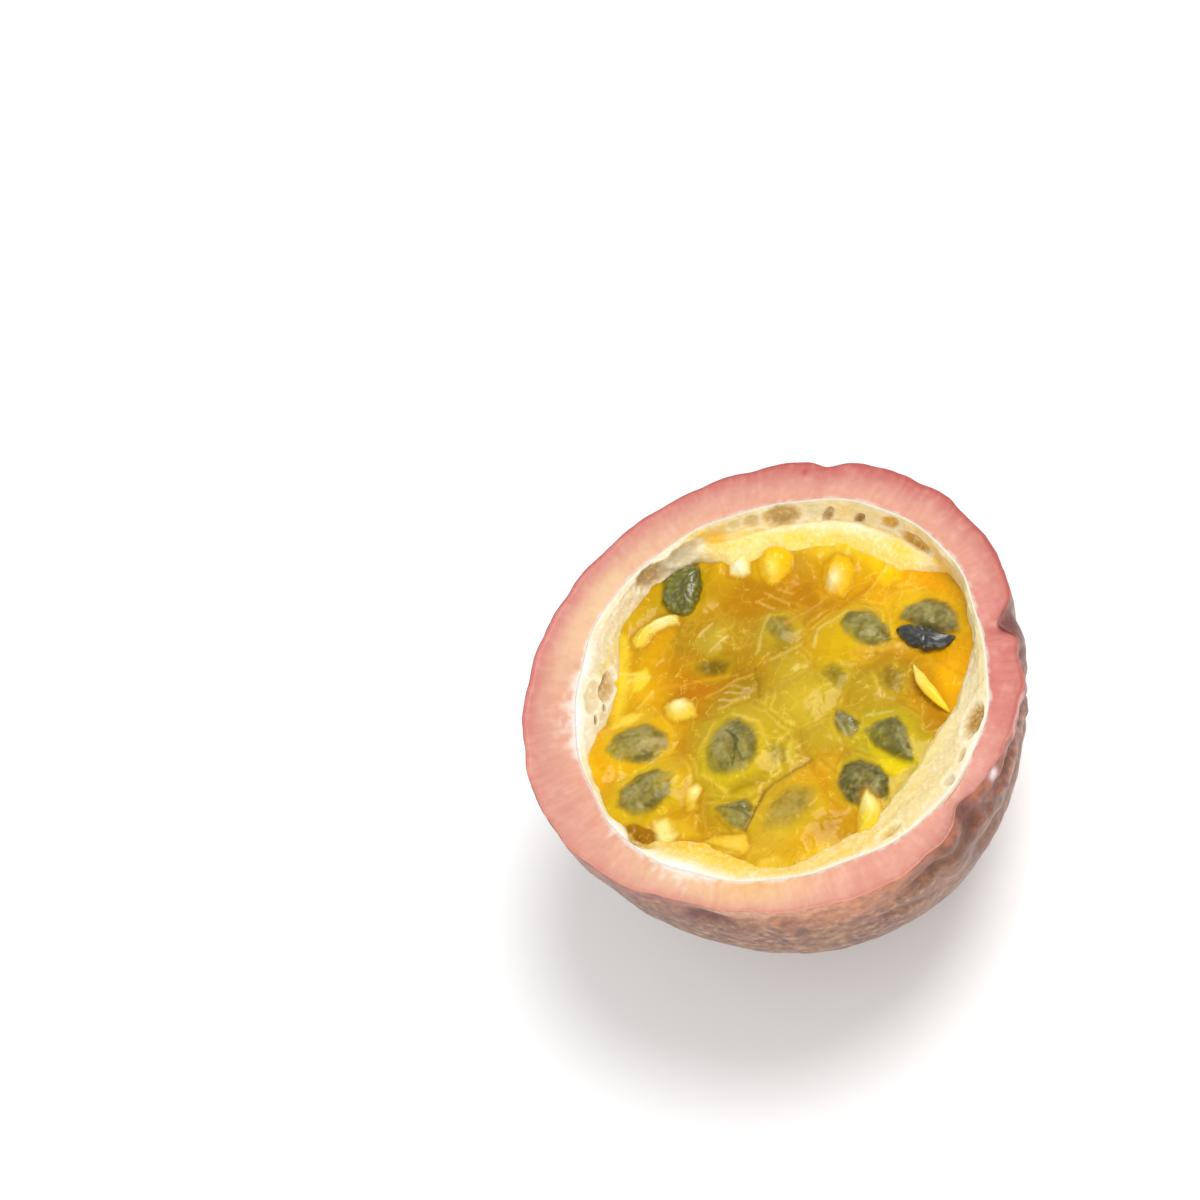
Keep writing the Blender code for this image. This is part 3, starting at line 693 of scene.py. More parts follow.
inside_share = np.clip((row - BACK_ROWS + 1) / INSIDE_ROWS, 0, 1)
ledge = step(np.cos(np.radians(np.clip(apart(turn, 51) * 2.1, -90, 90))), 0, 0.5)
strip = hill(apart(turn, -59), 34)
sponge = hill(apart(turn, 147), 20)
right_wall = (hill(apart(turn, 0), 20) + hill(apart(turn, 183), 14)) * (1 - ledge)
corner = 0.95 * hill(apart(turn, 223), 20) + 0.5 * hill(apart(turn, 258), 20)
plain = np.clip(1 - ledge - strip - sponge - right_wall - corner, 0, 1)
total = ledge + strip + sponge + right_wall + corner + plain
inward = np.zeros(len(turn))
below = np.zeros(len(turn))
wander = lumps(outward * 21 * MM, 3.0 * MM, 11) * 0.03
for weight, run in ((plain, PLAIN_RUN), (ledge, LEDGE_RUN), (strip, STRIP_RUN), (sponge, SPONGE_RUN),
                    (right_wall, RIGHT_RUN), (corner, CORNER_RUN)):
    stretched = np.clip(inside_share + wander * step(inside_share, 0.1, 0.3), 0, 1)
    run_in, run_below = along_run(run, stretched)
    inward = inward + run_in * weight / total
    below = below + run_below * weight / total
inside = outward * (liner_radius(turn, below) - inward)[:, None]
inside[:, 2] = -below

# Torn cells are pushed back into the liner, and the surface is uneven like foam
spots = seen(inside)
opened = np.zeros(len(turn))
pith_colour = np.tile(linear("F8EAC4"), (len(turn), 1))
pith_colour = tinted(pith_colour, "FDF3D8", hill(apart(turn, 100), 50) * 0.8)
above_ledge = 1 - ledge * step(inside_share, 0.5, 0.62)
pith_colour = tinted(pith_colour, "FADF96", hill(apart(turn, 62), 42) * above_ledge)
pith_colour = tinted(pith_colour, "F6E3BC", hill(apart(turn, 108), 22) * 0.6)
pith_colour = tinted(pith_colour, "DFC898", sponge)
pith_colour = tinted(pith_colour, "E9D08A", np.clip(strip, 0, 1) * 0.75)
grain = lumps(inside, 0.9 * MM, 12) * 0.6 + lumps(inside, 0.45 * MM, 13) * 0.4
for x, y, half_along, half_across, strength, tint in PITH_STAINS_AND_PAINTED_LIGHT:
    share = strength * hill(near(spots, x, y, half_along, half_across) * (1 + 0.25 * grain), 1.0)
    pith_colour = tinted(pith_colour, tint, share)
for x, y, half_along, half_across, depth, tint in CELLS:
    away = near(spots, x, y, half_along, half_across) + 0.2 * grain
    inner = 1 - step(away, 0.5, 1.15)
    opened = opened + 0.75 * depth * MM * (1 - step(away, 0.4, 1.25))
    pith_colour = tinted(pith_colour, "FBF0D2", hill(away - 1.15, 0.18) * 0.6)
    pith_colour = tinted(pith_colour, tint, inner * 0.95)
pith_colour = tinted(pith_colour, "FDF6EC", hill(inside_share - 0.11, 0.05) * 0.6)
pith_colour = tinted(pith_colour, "F2C6AE", hill(inside_share, 0.06) * 0.8)
juicy = ledge * step(inside_share, 0.55, 0.85)
pith_colour = tinted(pith_colour, "F8D84C", juicy * 0.8)
soaked = np.clip(corner, 0, 1)
pith_colour = tinted(pith_colour, "F8D048", soaked * step(inside_share, 0.15, 0.3) * 0.9)
pith_colour = tinted(pith_colour, "F4C414", soaked * step(inside_share, 0.28, 0.5) * 0.9)
foam = lumps(inside, 1.4 * MM, 14) * 0.17 * MM + lumps(inside, 0.6 * MM, 15) * 0.06 * MM
foam = foam + lumps(inside, 4.0 * MM, 16) * 0.15 * MM
push = opened + foam * step(inside_share, 0.1, 0.25)
inside = inside + outward * push[:, None]
inside[:, 2] -= push * 0.4 * step(inside_share, 0.05, 0.2)
pith_colour = tinted(pith_colour, "E8CC8A", np.clip(-grain, 0, 1) * 0.25)
pith_colour = tinted(pith_colour, "FFF9EC", np.clip(grain, 0, 1) * 0.3)

floor_share = np.clip((row - BACK_ROWS - INSIDE_ROWS + 1) / FLOOR_ROWS, 0, 1)
floor_radius = (liner_radius(turn, WALL_FOOT) - FOOT_THICKNESS) * np.cos(math.pi / 2 * floor_share)
floor_of_pith = outward * floor_radius[:, None]
floor_of_pith[:, 2] = -WALL_FOOT - FLOOR_DROP * np.sin(math.pi / 2 * floor_share)

on_back = row < BACK_ROWS
on_inside = ~on_back & (row < BACK_ROWS + INSIDE_ROWS)
pith = np.where(on_back[:, None], back, np.where(on_inside[:, None], inside, floor_of_pith))
keep_colour(pith_mesh, "pith_colour", pith_colour * DARKER)

# Pith: dry foam of plant cells that soaks up juice, so it is matt, pale and softly translucent
pith_material, tree = new_material("torn_spongy_pith")
place = add(tree, "TexCoord").outputs["Object"]
froth = noise_of(tree, place, 0.5 * MM, 4, 0.65)
bubbles = add(tree, "TexVoronoi", {}, {"Vector": place, "Scale": 1 / (0.6 * MM)})
whiter = laid_over(tree, kept_in_mesh(tree, "pith_colour"), "FDF6E4",
                   spread(tree, froth, 0.5, 0.72, 0.0, 0.35))
relief = relief_of(tree, combined(tree, "ADD", froth, bubbles.outputs["Distance"]), 0.15 * MM, 0.5)
give_surface(tree, whiter, spread(tree, froth, 0.0, 1.0, 0.45, 0.8), relief, {
    "IOR": 1.36, "Subsurface Weight": 0.35, "Subsurface Radius": (1.0, 0.8, 0.4),
    "Subsurface Scale": 0.7 * MM})
finish_piece("pith_liner", pith_mesh, pith, (pith_material,), "pith")

# The juice sacs
# Thin wet skins full of yellow juice, pressed together in the pith, each round a seed or empty.
# They are one film over domes, raised and tinted where a seed, a stalk or deeper juice shows.
PULP_LEVEL = -1.9 * MM
PULP_SLOPE = (-0.035, -0.06)
FILM_CELLS = 300
# How far below the cut the film meets the pith, and how deep the heap's hidden foot lies
FILM_EDGE = 3 * MM
HEAP_FOOT = 19 * MM

# Sacs as seen: x, y, length, width, turn in degrees, rise, colour
SACS = (
    (-15.6, 1.4, 9.8, 5.8, -8, 0.9, "EBB00E"),
    (-15.2, -4.7, 9.6, 5.2, 4, 0.9, "DFB01C"),
    (-11.2, 6.2, 5.0, 4.6, 20, 0.0, "F0B40E"),
    (-9.4, 9.8, 6.4, 4.4, 30, 0.0, "E8AC08"),
    (-9.2, 14.4, 6.6, 3.8, 25, 0.0, "DBAF18"),
    (-5.0, 10.0, 4.2, 5.2, 0, -0.2, "CB9C1A"),
    (-4.4, 5.4, 5.2, 3.8, -20, -0.3, "BC9010"),
    (-2.3, 8.2, 4.4, 3.8, 10, 0.1, "D3AC34"),
    (-2.2, 12.2, 6.4, 3.4, 10, 0.0, "D6A41C"),
    (0.9, 15.2, 3.8, 3.8, 0, 0.1, "E0AC10"),
    (3.4, 16.8, 4.4, 3.0, 20, 0.1, "F6CA2C"),
    (2.8, 10.6, 6.4, 4.2, -5, -0.2, "D39409"),
    (7.0, 10.2, 5.4, 4.0, 20, -0.1, "DD9A0A"),
    (6.3, 12.9, 4.4, 3.8, 0, 0.2, "F5C61C"),
    (5.4, 7.8, 8.0, 4.0, 8, -0.3, "D2930C"),
    (11.6, 7.6, 5.2, 4.8, 40, 0.1, "F2B911"),
    (15.8, 7.2, 5.0, 5.2, 60, 0.0, "F4BA0E"),
    (17.4, 3.2, 4.8, 5.2, 70, 0.1, "F3AE08"),
    (13.6, 3.4, 4.4, 4.2, 30, 0.0, "EFAE0F"),
    (3.2, 5.2, 4.8, 5.0, 70, 0.5, "CFAA38"),
    (7.8, 4.6, 5.6, 2.8, 10, -0.1, "D2981A"),
    (9.3, 0.9, 8.0, 5.6, -10, 1.0, "DEAE1C"),
    (16.3, -0.8, 7.6, 6.8, -35, 0.7, "E4A60C"),
    (2.2, -3.2, 5.8, 6.8, 90, 0.8, "D4B236"),
    (2.6, 1.0, 4.6, 3.6, 0, 0.3, "D2AF32"),
    (-3.0, 1.3, 5.6, 3.2, 5, 0.1, "BE9122"),
    (-7.0, 3.6, 5.4, 4.6, -30, -0.5, "D38A06"),
    (-5.6, -5.2, 9.4, 8.8, 60, 1.1, "CFAD28"),
    (-10.6, -1.8, 4.2, 4.0, 50, -0.4, "D4940A"),
    (-1.2, -1.6, 4.6, 3.4, 20, 0.1, "CBA42A"),
    (6.3, -2.4, 4.2, 4.0, 60, 0.2, "C6A526"),
    (8.4, -5.4, 4.6, 4.8, 40, 0.2, "CBA52E"),
    (10.9, -5.8, 4.8, 4.8, 60, 0.1, "C49828"),
    (12.4, -2.4, 5.6, 2.8, -25, 0.1, "D69C26"),
    (2.6, -8.0, 4.4, 5.6, 80, 0.3, "D0AD34"),
    (5.0, -8.4, 4.6, 3.8, 100, 0.2, "CBAA38"),
    (-1.6, -7.8, 5.2, 4.4, 70, 0.2, "C3A030"),
    (8.3, -12.0, 7.6, 5.8, 115, 0.9, "CAAE26"),
    (15.9, -8.4, 4.8, 7.2, -15, 0.0, "EEAD0C"),
    (11.9, -9.6, 4.2, 5.4, -10, -0.2, "D39812"),
    (12.2, -12.4, 3.6, 3.0, 30, -0.3, "CB8E0E"),
    (3.8, -14.8, 6.4, 6.4, 0, 0.7, "C9A61C"),
    (0.9, -11.6, 4.2, 4.4, 30, 0.1, "E1A50C"),
    (-4.2, -15.2, 12.0, 9.4, 25, 0.8, "DCAA26"),
    (-9.4, -11.2, 7.0, 5.4, -35, 0.4, "C99A1C"),
    (-13.4, -9.8, 5.6, 4.8, -40, -0.1, "E2A80E"),
    (-11.0, -13.6, 5.4, 3.4, -35, 0.1, "F0BE26"),
    (-7.4, -18.4, 5.6, 3.2, -22, 0.0, "F3BC10"),
    (0.4, -18.4, 5.4, 3.2, 10, -0.2, "D89C0A"),
    (6.8, -16.0, 3.8, 3.0, 30, 0.0, "D8BE1E"),
    (-6.8, 7.0, 3.8, 3.4, 10, -0.3, "DE9E0C"),
    (0.2, 3.6, 3.4, 3.2, 0, -0.1, "CBA21E"),
    (10.6, 11.4, 5.0, 3.0, 35, -0.2, "EBB21A"),
    (-13.2, 8.6, 3.6, 4.0, 0, 0.0, "EFC030"),
    (13.6, 10.2, 4.0, 3.2, -40, -0.1, "F3C838"),
)

# Seeds under the film: their outline as seen, softness of its edge, strength, colour, dark edge
SUNK_SEEDS = (
    (((-17.4, 1.7), (-16.2, 2.7), (-14.4, 3.0), (-12.8, 2.3), (-11.5, 0.5), (-11.9, -0.6),
     (-13.6, -1.5), (-15.2, -0.9), (-16.8, 0.3)), 0.6, 0.88, "958C50", 0.5),
    (((-18.6, -4.6), (-17.6, -3.1), (-15.6, -2.4), (-13.8, -3.0), (-12.6, -4.4), (-13.8, -5.8),
     (-15.8, -6.6), (-17.6, -6.2)), 0.7, 0.92, "8F8A55", 0.8),
    (((-8.8, -5.4), (-8.2, -3.6), (-7.0, -2.3), (-5.4, -1.7), (-4.2, -2.2), (-3.4, -3.6), (-3.4, -5.0),
     (-4.4, -6.6), (-6.0, -7.6), (-7.6, -7.2), (-8.6, -6.4)), 0.9, 0.92, "868055", 0.6),
    (((-10.2, -9.9), (-8.6, -10.0), (-7.2, -10.5), (-6.9, -11.6), (-8.6, -13.6), (-9.6, -12.4)),
     0.3, 0.92, "8B8448", 0.7),
    (((-6.8, -14.6), (-5.2, -12.6), (-3.0, -12.0), (-1.2, -13.0), (-1.8, -14.8), (-4.4, -15.6)),
     1.4, 0.6, "A08E52", 0.1),
    (((1.5, -15.9), (1.6, -13.8), (2.8, -12.6), (4.4, -12.6), (5.6, -14.4), (5.9, -15.9), (5.0, -17.6),
     (3.9, -16.8), (2.4, -17.0)), 0.25, 0.95, "77704A", 0.8),
    (((6.3, -10.1), (7.6, -9.7), (9.6, -10.4), (9.9, -12.2), (8.8, -15.3), (7.4, -14.0), (6.6, -12.2)),
     0.4, 0.92, "77734F", 0.6),
    (((4.8, -6.2), (4.2, -7.6), (4.2, -8.9), (4.8, -9.8), (5.5, -9.8), (5.8, -8.6), (5.4, -7.2)),
     0.3, 0.9, "8F865A", 0.6),
    (((9.4, 2.2), (10.4, 3.1), (11.8, 2.8), (12.6, 1.2), (12.7, -0.8), (12.3, -1.9), (11.0, -1.7),
     (9.8, -0.6), (9.2, 0.8)), 0.45, 0.9, "8A8858", 0.5),
    (((14.6, -0.5), (15.8, 0.3), (17.6, -0.1), (19.1, -1.4), (19.6, -3.2), (18.9, -4.8), (16.6, -3.4)),
     0.5, 0.95, "8A865E", 0.5),
    (((3.2, 7.0), (2.6, 6.0), (2.9, 4.4), (3.8, 3.8), (4.6, 4.6), (4.5, 6.2)), 0.9, 0.75, "8A8040", 0.2),
    (((-5.4, 5.9), (-4.0, 5.9), (-2.8, 4.8), (-3.6, 4.1), (-4.8, 4.6)), 1.2, 0.85, "75640E", 0.2),
    (((-5.7, 15.0), (-4.6, 17.3), (-2.8, 17.9), (-0.7, 17.2), (-1.6, 15.0), (-3.6, 12.6), (-4.9, 13.8)),
     0.3, 0.95, "6E6A18", 0.6),
    (((10.0, -5.0), (11.2, -4.6), (11.9, -6.0), (11.2, -7.2), (10.2, -6.8)), 1.0, 0.7, "8A720C", 0.1),
    (((5.4, -1.6), (6.4, -1.2), (6.9, -2.8), (6.2, -3.8), (5.4, -3.0)), 1.0, 0.7, "8F801C", 0.1),
    (((-3.0, -6.8), (-2.0, -6.4), (-1.5, -7.8), (-2.2, -8.8), (-3.1, -8.2)), 1.0, 0.5, "96822E", 0.1),
)

# Tones on the sunk seeds, as seen: x, y, length, width, turn in degrees, strength, colour
SEED_TONES = (
    (-16.8, 1.8, 1.6, 3.0, 0, 0.7, "C9B040"),
    (-14.6, 1.6, 3.2, 1.6, -20, 0.5, "A89F72"),
    (-12.3, 1.2, 1.2, 3.0, 25, 0.6, "6F6A34"),
    (-14.4, -0.7, 2.0, 0.9, -10, 0.6, "5E5A34"),
    (-16.2, -4.3, 3.4, 1.8, 5, 0.6, "A89D70"),
    (-15.8, -2.9, 4.0, 0.8, 6, 0.7, "6E671C"),
    (-16.0, -6.2, 4.4, 0.8, 8, 0.7, "55520E"),
    (-13.2, -4.4, 1.8, 2.6, 0, 0.8, "C5A92C"),
    (-8.3, -5.0, 1.8, 4.0, -20, 0.7, "B5A63C"),
    (-5.0, -3.4, 2.4, 3.0, 30, 0.5, "8C866A"),
    (-6.4, -6.4, 2.6, 1.2, 15, 0.4, "8F8844"),
    (-9.5, -10.9, 1.2, 2.6, 20, 0.7, "AFA03A"),
    (-7.8, -11.6, 1.6, 1.6, -30, 0.5, "75704C"),
    (2.6, -15.7, 1.8, 2.2, 0, 0.85, "4E480E"),
    (3.8, -13.6, 2.6, 1.4, 0, 0.6, "918A60"),
    (5.2, -15.2, 1.0, 3.2, 25, 0.7, "55533A"),
    (6.9, -11.2, 1.2, 3.4, 20, 0.7, "A9A02E"),
    (9.0, -11.6, 1.6, 3.6, 10, 0.5, "66624A"),
    (9.7, 1.0, 1.0, 3.4, 0, 0.6, "C0AC3A"),
    (11.2, 1.8, 1.8, 1.6, 0, 0.5, "9A9672"),
    (12.2, -1.0, 1.2, 2.0, 10, 0.8, "5A4C14"),
    (17.2, -1.4, 3.0, 1.6, -35, 0.5, "A09A6C"),
    (18.8, -3.2, 1.0, 2.4, 10, 0.5, "A8A27C"),
    (16.6, -2.9, 3.6, 1.2, -45, 0.85, "2C2812"),
    (-3.4, -14.0, 3.4, 2.0, 10, 0.4, "A09870"),
    (-3.8, 16.4, 3.0, 1.4, 20, 0.5, "8E8B22"),
    (-4.9, 14.6, 1.2, 2.6, 0, 0.5, "8C8C62"),
    (-2.2, 14.8, 1.6, 2.4, -30, 0.6, "4A4508"),
)


def toned(colour, spots, share):
    """Colours of seeds with the tones laid on them that show at each seen spot."""
    for x, y, length, width, degrees, strength, tint in SEED_TONES:
        here = hill(oval(spots, x, y, length, width, degrees), 0.95)
        colour = tinted(colour, tint, strength * share * here)
    return colour


# Soft pegs that the film lies over: their outline as seen, softness, rise, colour, and a painted
# highlight on each: x, y, size, colour
SOFT_PEGS = (
    (((-10.4, 2.4), (-10.2, 3.5), (-9.2, 3.9), (-8.2, 3.5), (-7.7, 2.4), (-8.0, 1.0), (-9.0, 1.2),
     (-10.0, 1.6)), 0.3, 0.7, "F2D02E", -8.8, 2.8, 0.9, "FDF4B8"),
    (((1.7, 13.9), (2.6, 13.2), (3.4, 13.2), (4.0, 14.2), (5.2, 15.0), (6.0, 16.4), (4.6, 16.4),
     (3.4, 15.6), (2.2, 14.8)), 0.3, 0.7, "F8E068", 2.8, 14.1, 1.0, "FFFBE0"),
    (((4.7, 12.0), (5.0, 13.2), (5.7, 14.5), (6.9, 14.2), (8.1, 13.2), (8.1, 12.2), (7.2, 11.0),
     (5.6, 10.7), (4.7, 11.1)), 0.4, 0.7, "FCC60A", 5.7, 12.0, 0.7, "FDE46A"),
    (((9.8, 6.8), (9.9, 8.4), (10.6, 9.4), (12.0, 9.6), (12.9, 8.6), (12.7, 7.2), (11.6, 6.0),
     (10.7, 5.6)), 0.4, 0.8, "FDC40A", 10.6, 7.3, 0.9, "FFF6BC"),
    (((-12.8, -8.4), (-12.4, -7.2), (-11.8, -6.5), (-11.0, -6.4), (-10.9, -7.0), (-11.8, -7.7),
     (-12.0, -8.6)), 0.4, 0.35, "E9C030", -11.5, -6.9, 0.7, "F9E690"),
    (((-12.5, -12.4), (-8.8, -13.8), (-9.3, -15.4), (-10.1, -15.6), (-11.2, -14.4)),
     0.2, 0.1, "EDBE30", -10.3, -14.4, 0.8, "F4CE50"),
    (((-10.3, 11.7), (-10.1, 12.5), (-8.8, 13.2), (-7.3, 13.5), (-5.8, 13.3), (-5.0, 12.7),
     (-5.3, 11.8), (-6.2, 12.2), (-7.8, 12.4), (-9.4, 11.5)), 0.25, 0.9, "F8DC48", -6.4, 12.9, 1.5,
     "FDF2AE"),
    (((1.0, -19.6), (1.7, -18.2), (2.6, -17.2), (3.5, -16.3), (3.9, -17.2), (3.9, -18.4), (3.2, -19.4),
     (2.0, -19.9)), 0.35, 0.6, "F0D034", 3.3, -17.3, 1.0, "FBEE9C"),
)

# Facets of the sacs with clear edges, with painted shade in a hole and beside a seed: their outline
# as seen, softness, strength, colour
FACETS_AND_PAINTED_SHADE = (
    (((-19.2, -7.2), (-18.2, -7.0), (-16.8, -8.4), (-16.7, -10.4), (-17.6, -10.2), (-18.7, -9.0)),
     0.2, 0.95, "B0740A"),
    # Painted shade on the left side of the hole
    (((-19.1, -7.6), (-18.4, -7.6), (-18.1, -9.4), (-18.7, -9.2)), 0.4, 0.5, "8A5A08"),
    (((-16.3, -7.9), (-15.0, -8.2), (-14.8, -10.4), (-16.2, -11.2), (-17.0, -9.9)), 0.6, 0.85, "F4EAB8"),
    (((-15.2, -8.0), (-13.8, -9.2), (-12.6, -11.4), (-14.2, -11.2), (-15.4, -9.8)), 0.6, 0.7, "E8BE30"),
    (((-12.4, -12.5), (-8.8, -13.9), (-9.9, -15.7)), 0.25, 0.85, "F5D052"),
    (((6.0, -13.6), (7.0, -14.2), (8.4, -15.6), (8.0, -16.0), (6.4, -15.9), (5.9, -14.8)),
     0.3, 0.9, "EED010"),
    (((6.0, -11.2), (6.6, -12.4), (7.4, -14.0), (6.6, -14.0), (5.9, -12.6)), 0.4, 0.7, "DCC41A"),
    (((0.0, -12.0), (1.4, -13.6), (1.4, -16.4), (2.4, -17.2), (1.4, -19.0), (-0.6, -18.6)),
     0.7, 0.7, "D79604"),
    (((-16.2, 4.6), (-14.0, 8.0), (-12.9, 10.8), (-11.2, 13.8), (-10.4, 13.0), (-11.6, 10.4),
     (-12.9, 7.6), (-14.8, 4.6)), 1.0, 0.7, "F6D84A"),
    (((-16.4, 4.6), (-13.8, 4.9), (-12.6, 4.2), (-13.4, 3.7), (-16.0, 4.0)), 0.35, 0.6, "F8E06A"),
    (((-12.4, 7.2), (-11.6, 9.4), (-10.3, 8.8), (-10.6, 7.4), (-11.4, 6.8)), 0.4, 0.7, "FBDD52"),
    (((-10.0, 11.6), (-7.6, 12.4), (-5.4, 12.0), (-5.8, 10.6), (-8.4, 9.6), (-9.8, 10.2)),
     0.4, 0.6, "E4A800"),
    (((-5.2, 9.2), (-2.4, 9.6), (-1.6, 8.0), (-2.4, 6.4), (-4.4, 6.6)), 0.5, 0.5, "CDB24A"),
    (((16.4, 5.4), (19.6, 4.6), (20.4, 1.0), (19.6, -0.4), (18.4, 1.6), (17.0, 3.2)), 0.6, 0.7, "F0A600"),
    (((14.6, 6.6), (18.0, 5.4), (16.6, 3.8), (14.8, 4.2)), 0.5, 0.7, "FCC808"),
    (((6.0, 2.6), (8.8, 3.3), (9.4, 1.6), (9.0, -0.6), (7.6, -1.4), (6.4, -0.6), (5.8, 1.2)),
     0.4, 0.7, "DFB010"),
    # A painted shadow beside the seed on the right
    (((12.6, 0.4), (13.1, -0.2), (12.9, -2.0), (12.3, -1.9)), 0.25, 0.8, "8A6410"),
    (((13.4, 2.6), (16.6, 2.4), (18.2, 0.8), (16.2, 0.4), (14.0, 0.6)), 0.5, 0.6, "F2C020"),
)

# Pools and patches of colour as seen: x, y, length, width, turn, strength, colour
PATCHES = (
    (-6.6, 4.4, 5.6, 2.6, -35, 0.8, "D48604"),
    (-7.4, 1.0, 3.0, 2.2, -50, 0.6, "CC8206"),
    (-3.6, 4.2, 3.0, 2.0, -10, 0.5, "BE8A08"),
    (3.0, 10.2, 5.0, 3.0, 0, 0.6, "CE8A06"),
    (7.6, 7.6, 4.0, 3.0, 20, 0.5, "D08A08"),
    (10.0, 4.6, 4.0, 1.6, 0, 0.6, "D69208"),
    (17.2, -7.6, 3.4, 6.0, -15, 0.6, "F0A804"),
    (12.6, -12.6, 3.0, 2.2, 20, 0.6, "C48608"),
    (-10.2, -2.2, 2.2, 4.4, -10, 0.6, "D08C06"),
    (0.6, -13.0, 2.8, 5.0, 10, 0.6, "E09C08"),
    (0.6, -18.0, 4.4, 2.4, 10, 0.6, "D29608"),
    (-12.4, -11.6, 3.6, 2.2, -35, 0.5, "D2920C"),
    (-18.6, 1.0, 2.4, 4.6, 0, 0.6, "EDA508"),
    (-18.4, -3.0, 2.0, 3.0, 0, 0.4, "E8A80E"),
    (-13.6, 4.0, 4.6, 1.0, -8, 0.6, "F3CC4A"),
    (-8.4, -7.4, 3.0, 3.6, 30, 0.5, "D8BC1E"),
    (-2.6, -2.6, 2.0, 3.6, 30, 0.5, "D8B23E"),
    (-6.6, -9.2, 5.4, 1.4, 0, 0.5, "B8960E"),
    (8.0, -14.6, 2.6, 2.0, 20, 0.8, "CDB60C"),
    (6.2, -13.6, 1.4, 3.2, 0, 0.6, "DCC01A"),
    (7.0, 0.4, 2.8, 3.4, 0, 0.5, "EBB818"),
    (8.6, 3.0, 5.0, 0.9, 12, 0.5, "E3C05A"),
    (17.0, 6.0, 5.0, 4.0, 60, 0.4, "F9C00E"),
    (14.2, 1.6, 3.0, 2.6, 0, 0.4, "F0AA0C"),
    (19.0, 0.0, 1.6, 7.0, 0, 0.5, "F0A806"),
    (-6.4, 13.6, 2.4, 3.0, -20, 0.4, "C69A20"),
    (-9.0, 11.4, 4.0, 2.0, 15, 0.5, "D99E06"),
    (-11.6, 7.4, 3.4, 2.0, 40, 0.5, "F6C228"),
    (-5.8, 8.6, 2.4, 3.6, 0, 0.4, "BE9626"),
    (-2.6, 8.2, 2.2, 1.8, 0, 0.5, "DCBC54"),
    (-1.6, 12.6, 3.0, 1.6, 20, 0.4, "DAAE36"),
    (1.0, 14.0, 2.0, 4.0, 0, 0.4, "E2AC0C"),
    (-4.6, 1.0, 2.0, 1.6, 0, 0.5, "C2962E"),
    (-1.8, 1.6, 2.0, 2.4, 0, 0.5, "A88A10"),
    (2.0, -3.0, 3.4, 5.6, 0, 0.4, "D8B842"),
    (9.6, -7.0, 3.0, 2.4, 0, 0.4, "D6B04A"),
    (-3.2, -15.8, 3.0, 1.4, 0, 0.35, "B8A01C"),
    (-4.0, -18.0, 7.0, 2.4, 10, 0.6, "E0A408"),
    (-6.6, -16.0, 3.0, 4.0, 20, 0.4, "E0B452"),
    (-1.0, -11.6, 2.6, 3.0, 30, 0.4, "ECA80A"),
    (-10.0, -15.2, 3.6, 0.9, -35, 0.7, "F6CE52"),
    (-16.2, -6.7, 4.6, 0.8, 6, 0.5, "B58A08"),
    (15.4, 7.6, 6.0, 2.6, -52, 0.7, "FBCF18"),
    (-1.0, -17.4, 3.2, 2.6, 0, 0.8, "C48A04"),
    (3.2, 3.5, 2.6, 1.6, 0, 0.7, "98780A"),
    (11.4, 10.8, 5.0, 1.6, -38, 0.7, "F5D040"),
    (8.4, 12.8, 2.0, 1.8, 0, 0.6, "E2C24A"),
    (8.6, 10.8, 1.8, 2.0, 0, 0.4, "D2B450"),
    (0.2, 9.0, 30.0, 26.0, 0, 0.12, "A87408"),
    (4.6, -17.6, 4.0, 2.2, 10, 0.6, "D6A80E"),
    (20.2, 3.0, 1.2, 7.0, 8, 0.6, "F8BC08"),
    (-19.6, 0.6, 1.4, 6.0, 0, 0.5, "F4C41A"),
    (-9.0, -19.0, 4.0, 1.2, -24, 0.7, "F7CC1E"),
    (-3.4, -19.4, 6.0, 0.9, -8, 0.7, "EFC010"),
    (15.6, -9.6, 2.4, 4.6, -18, 0.6, "F8B806"),
    (12.6, -11.6, 1.4, 3.6, 0, 0.5, "D08A04"),
)

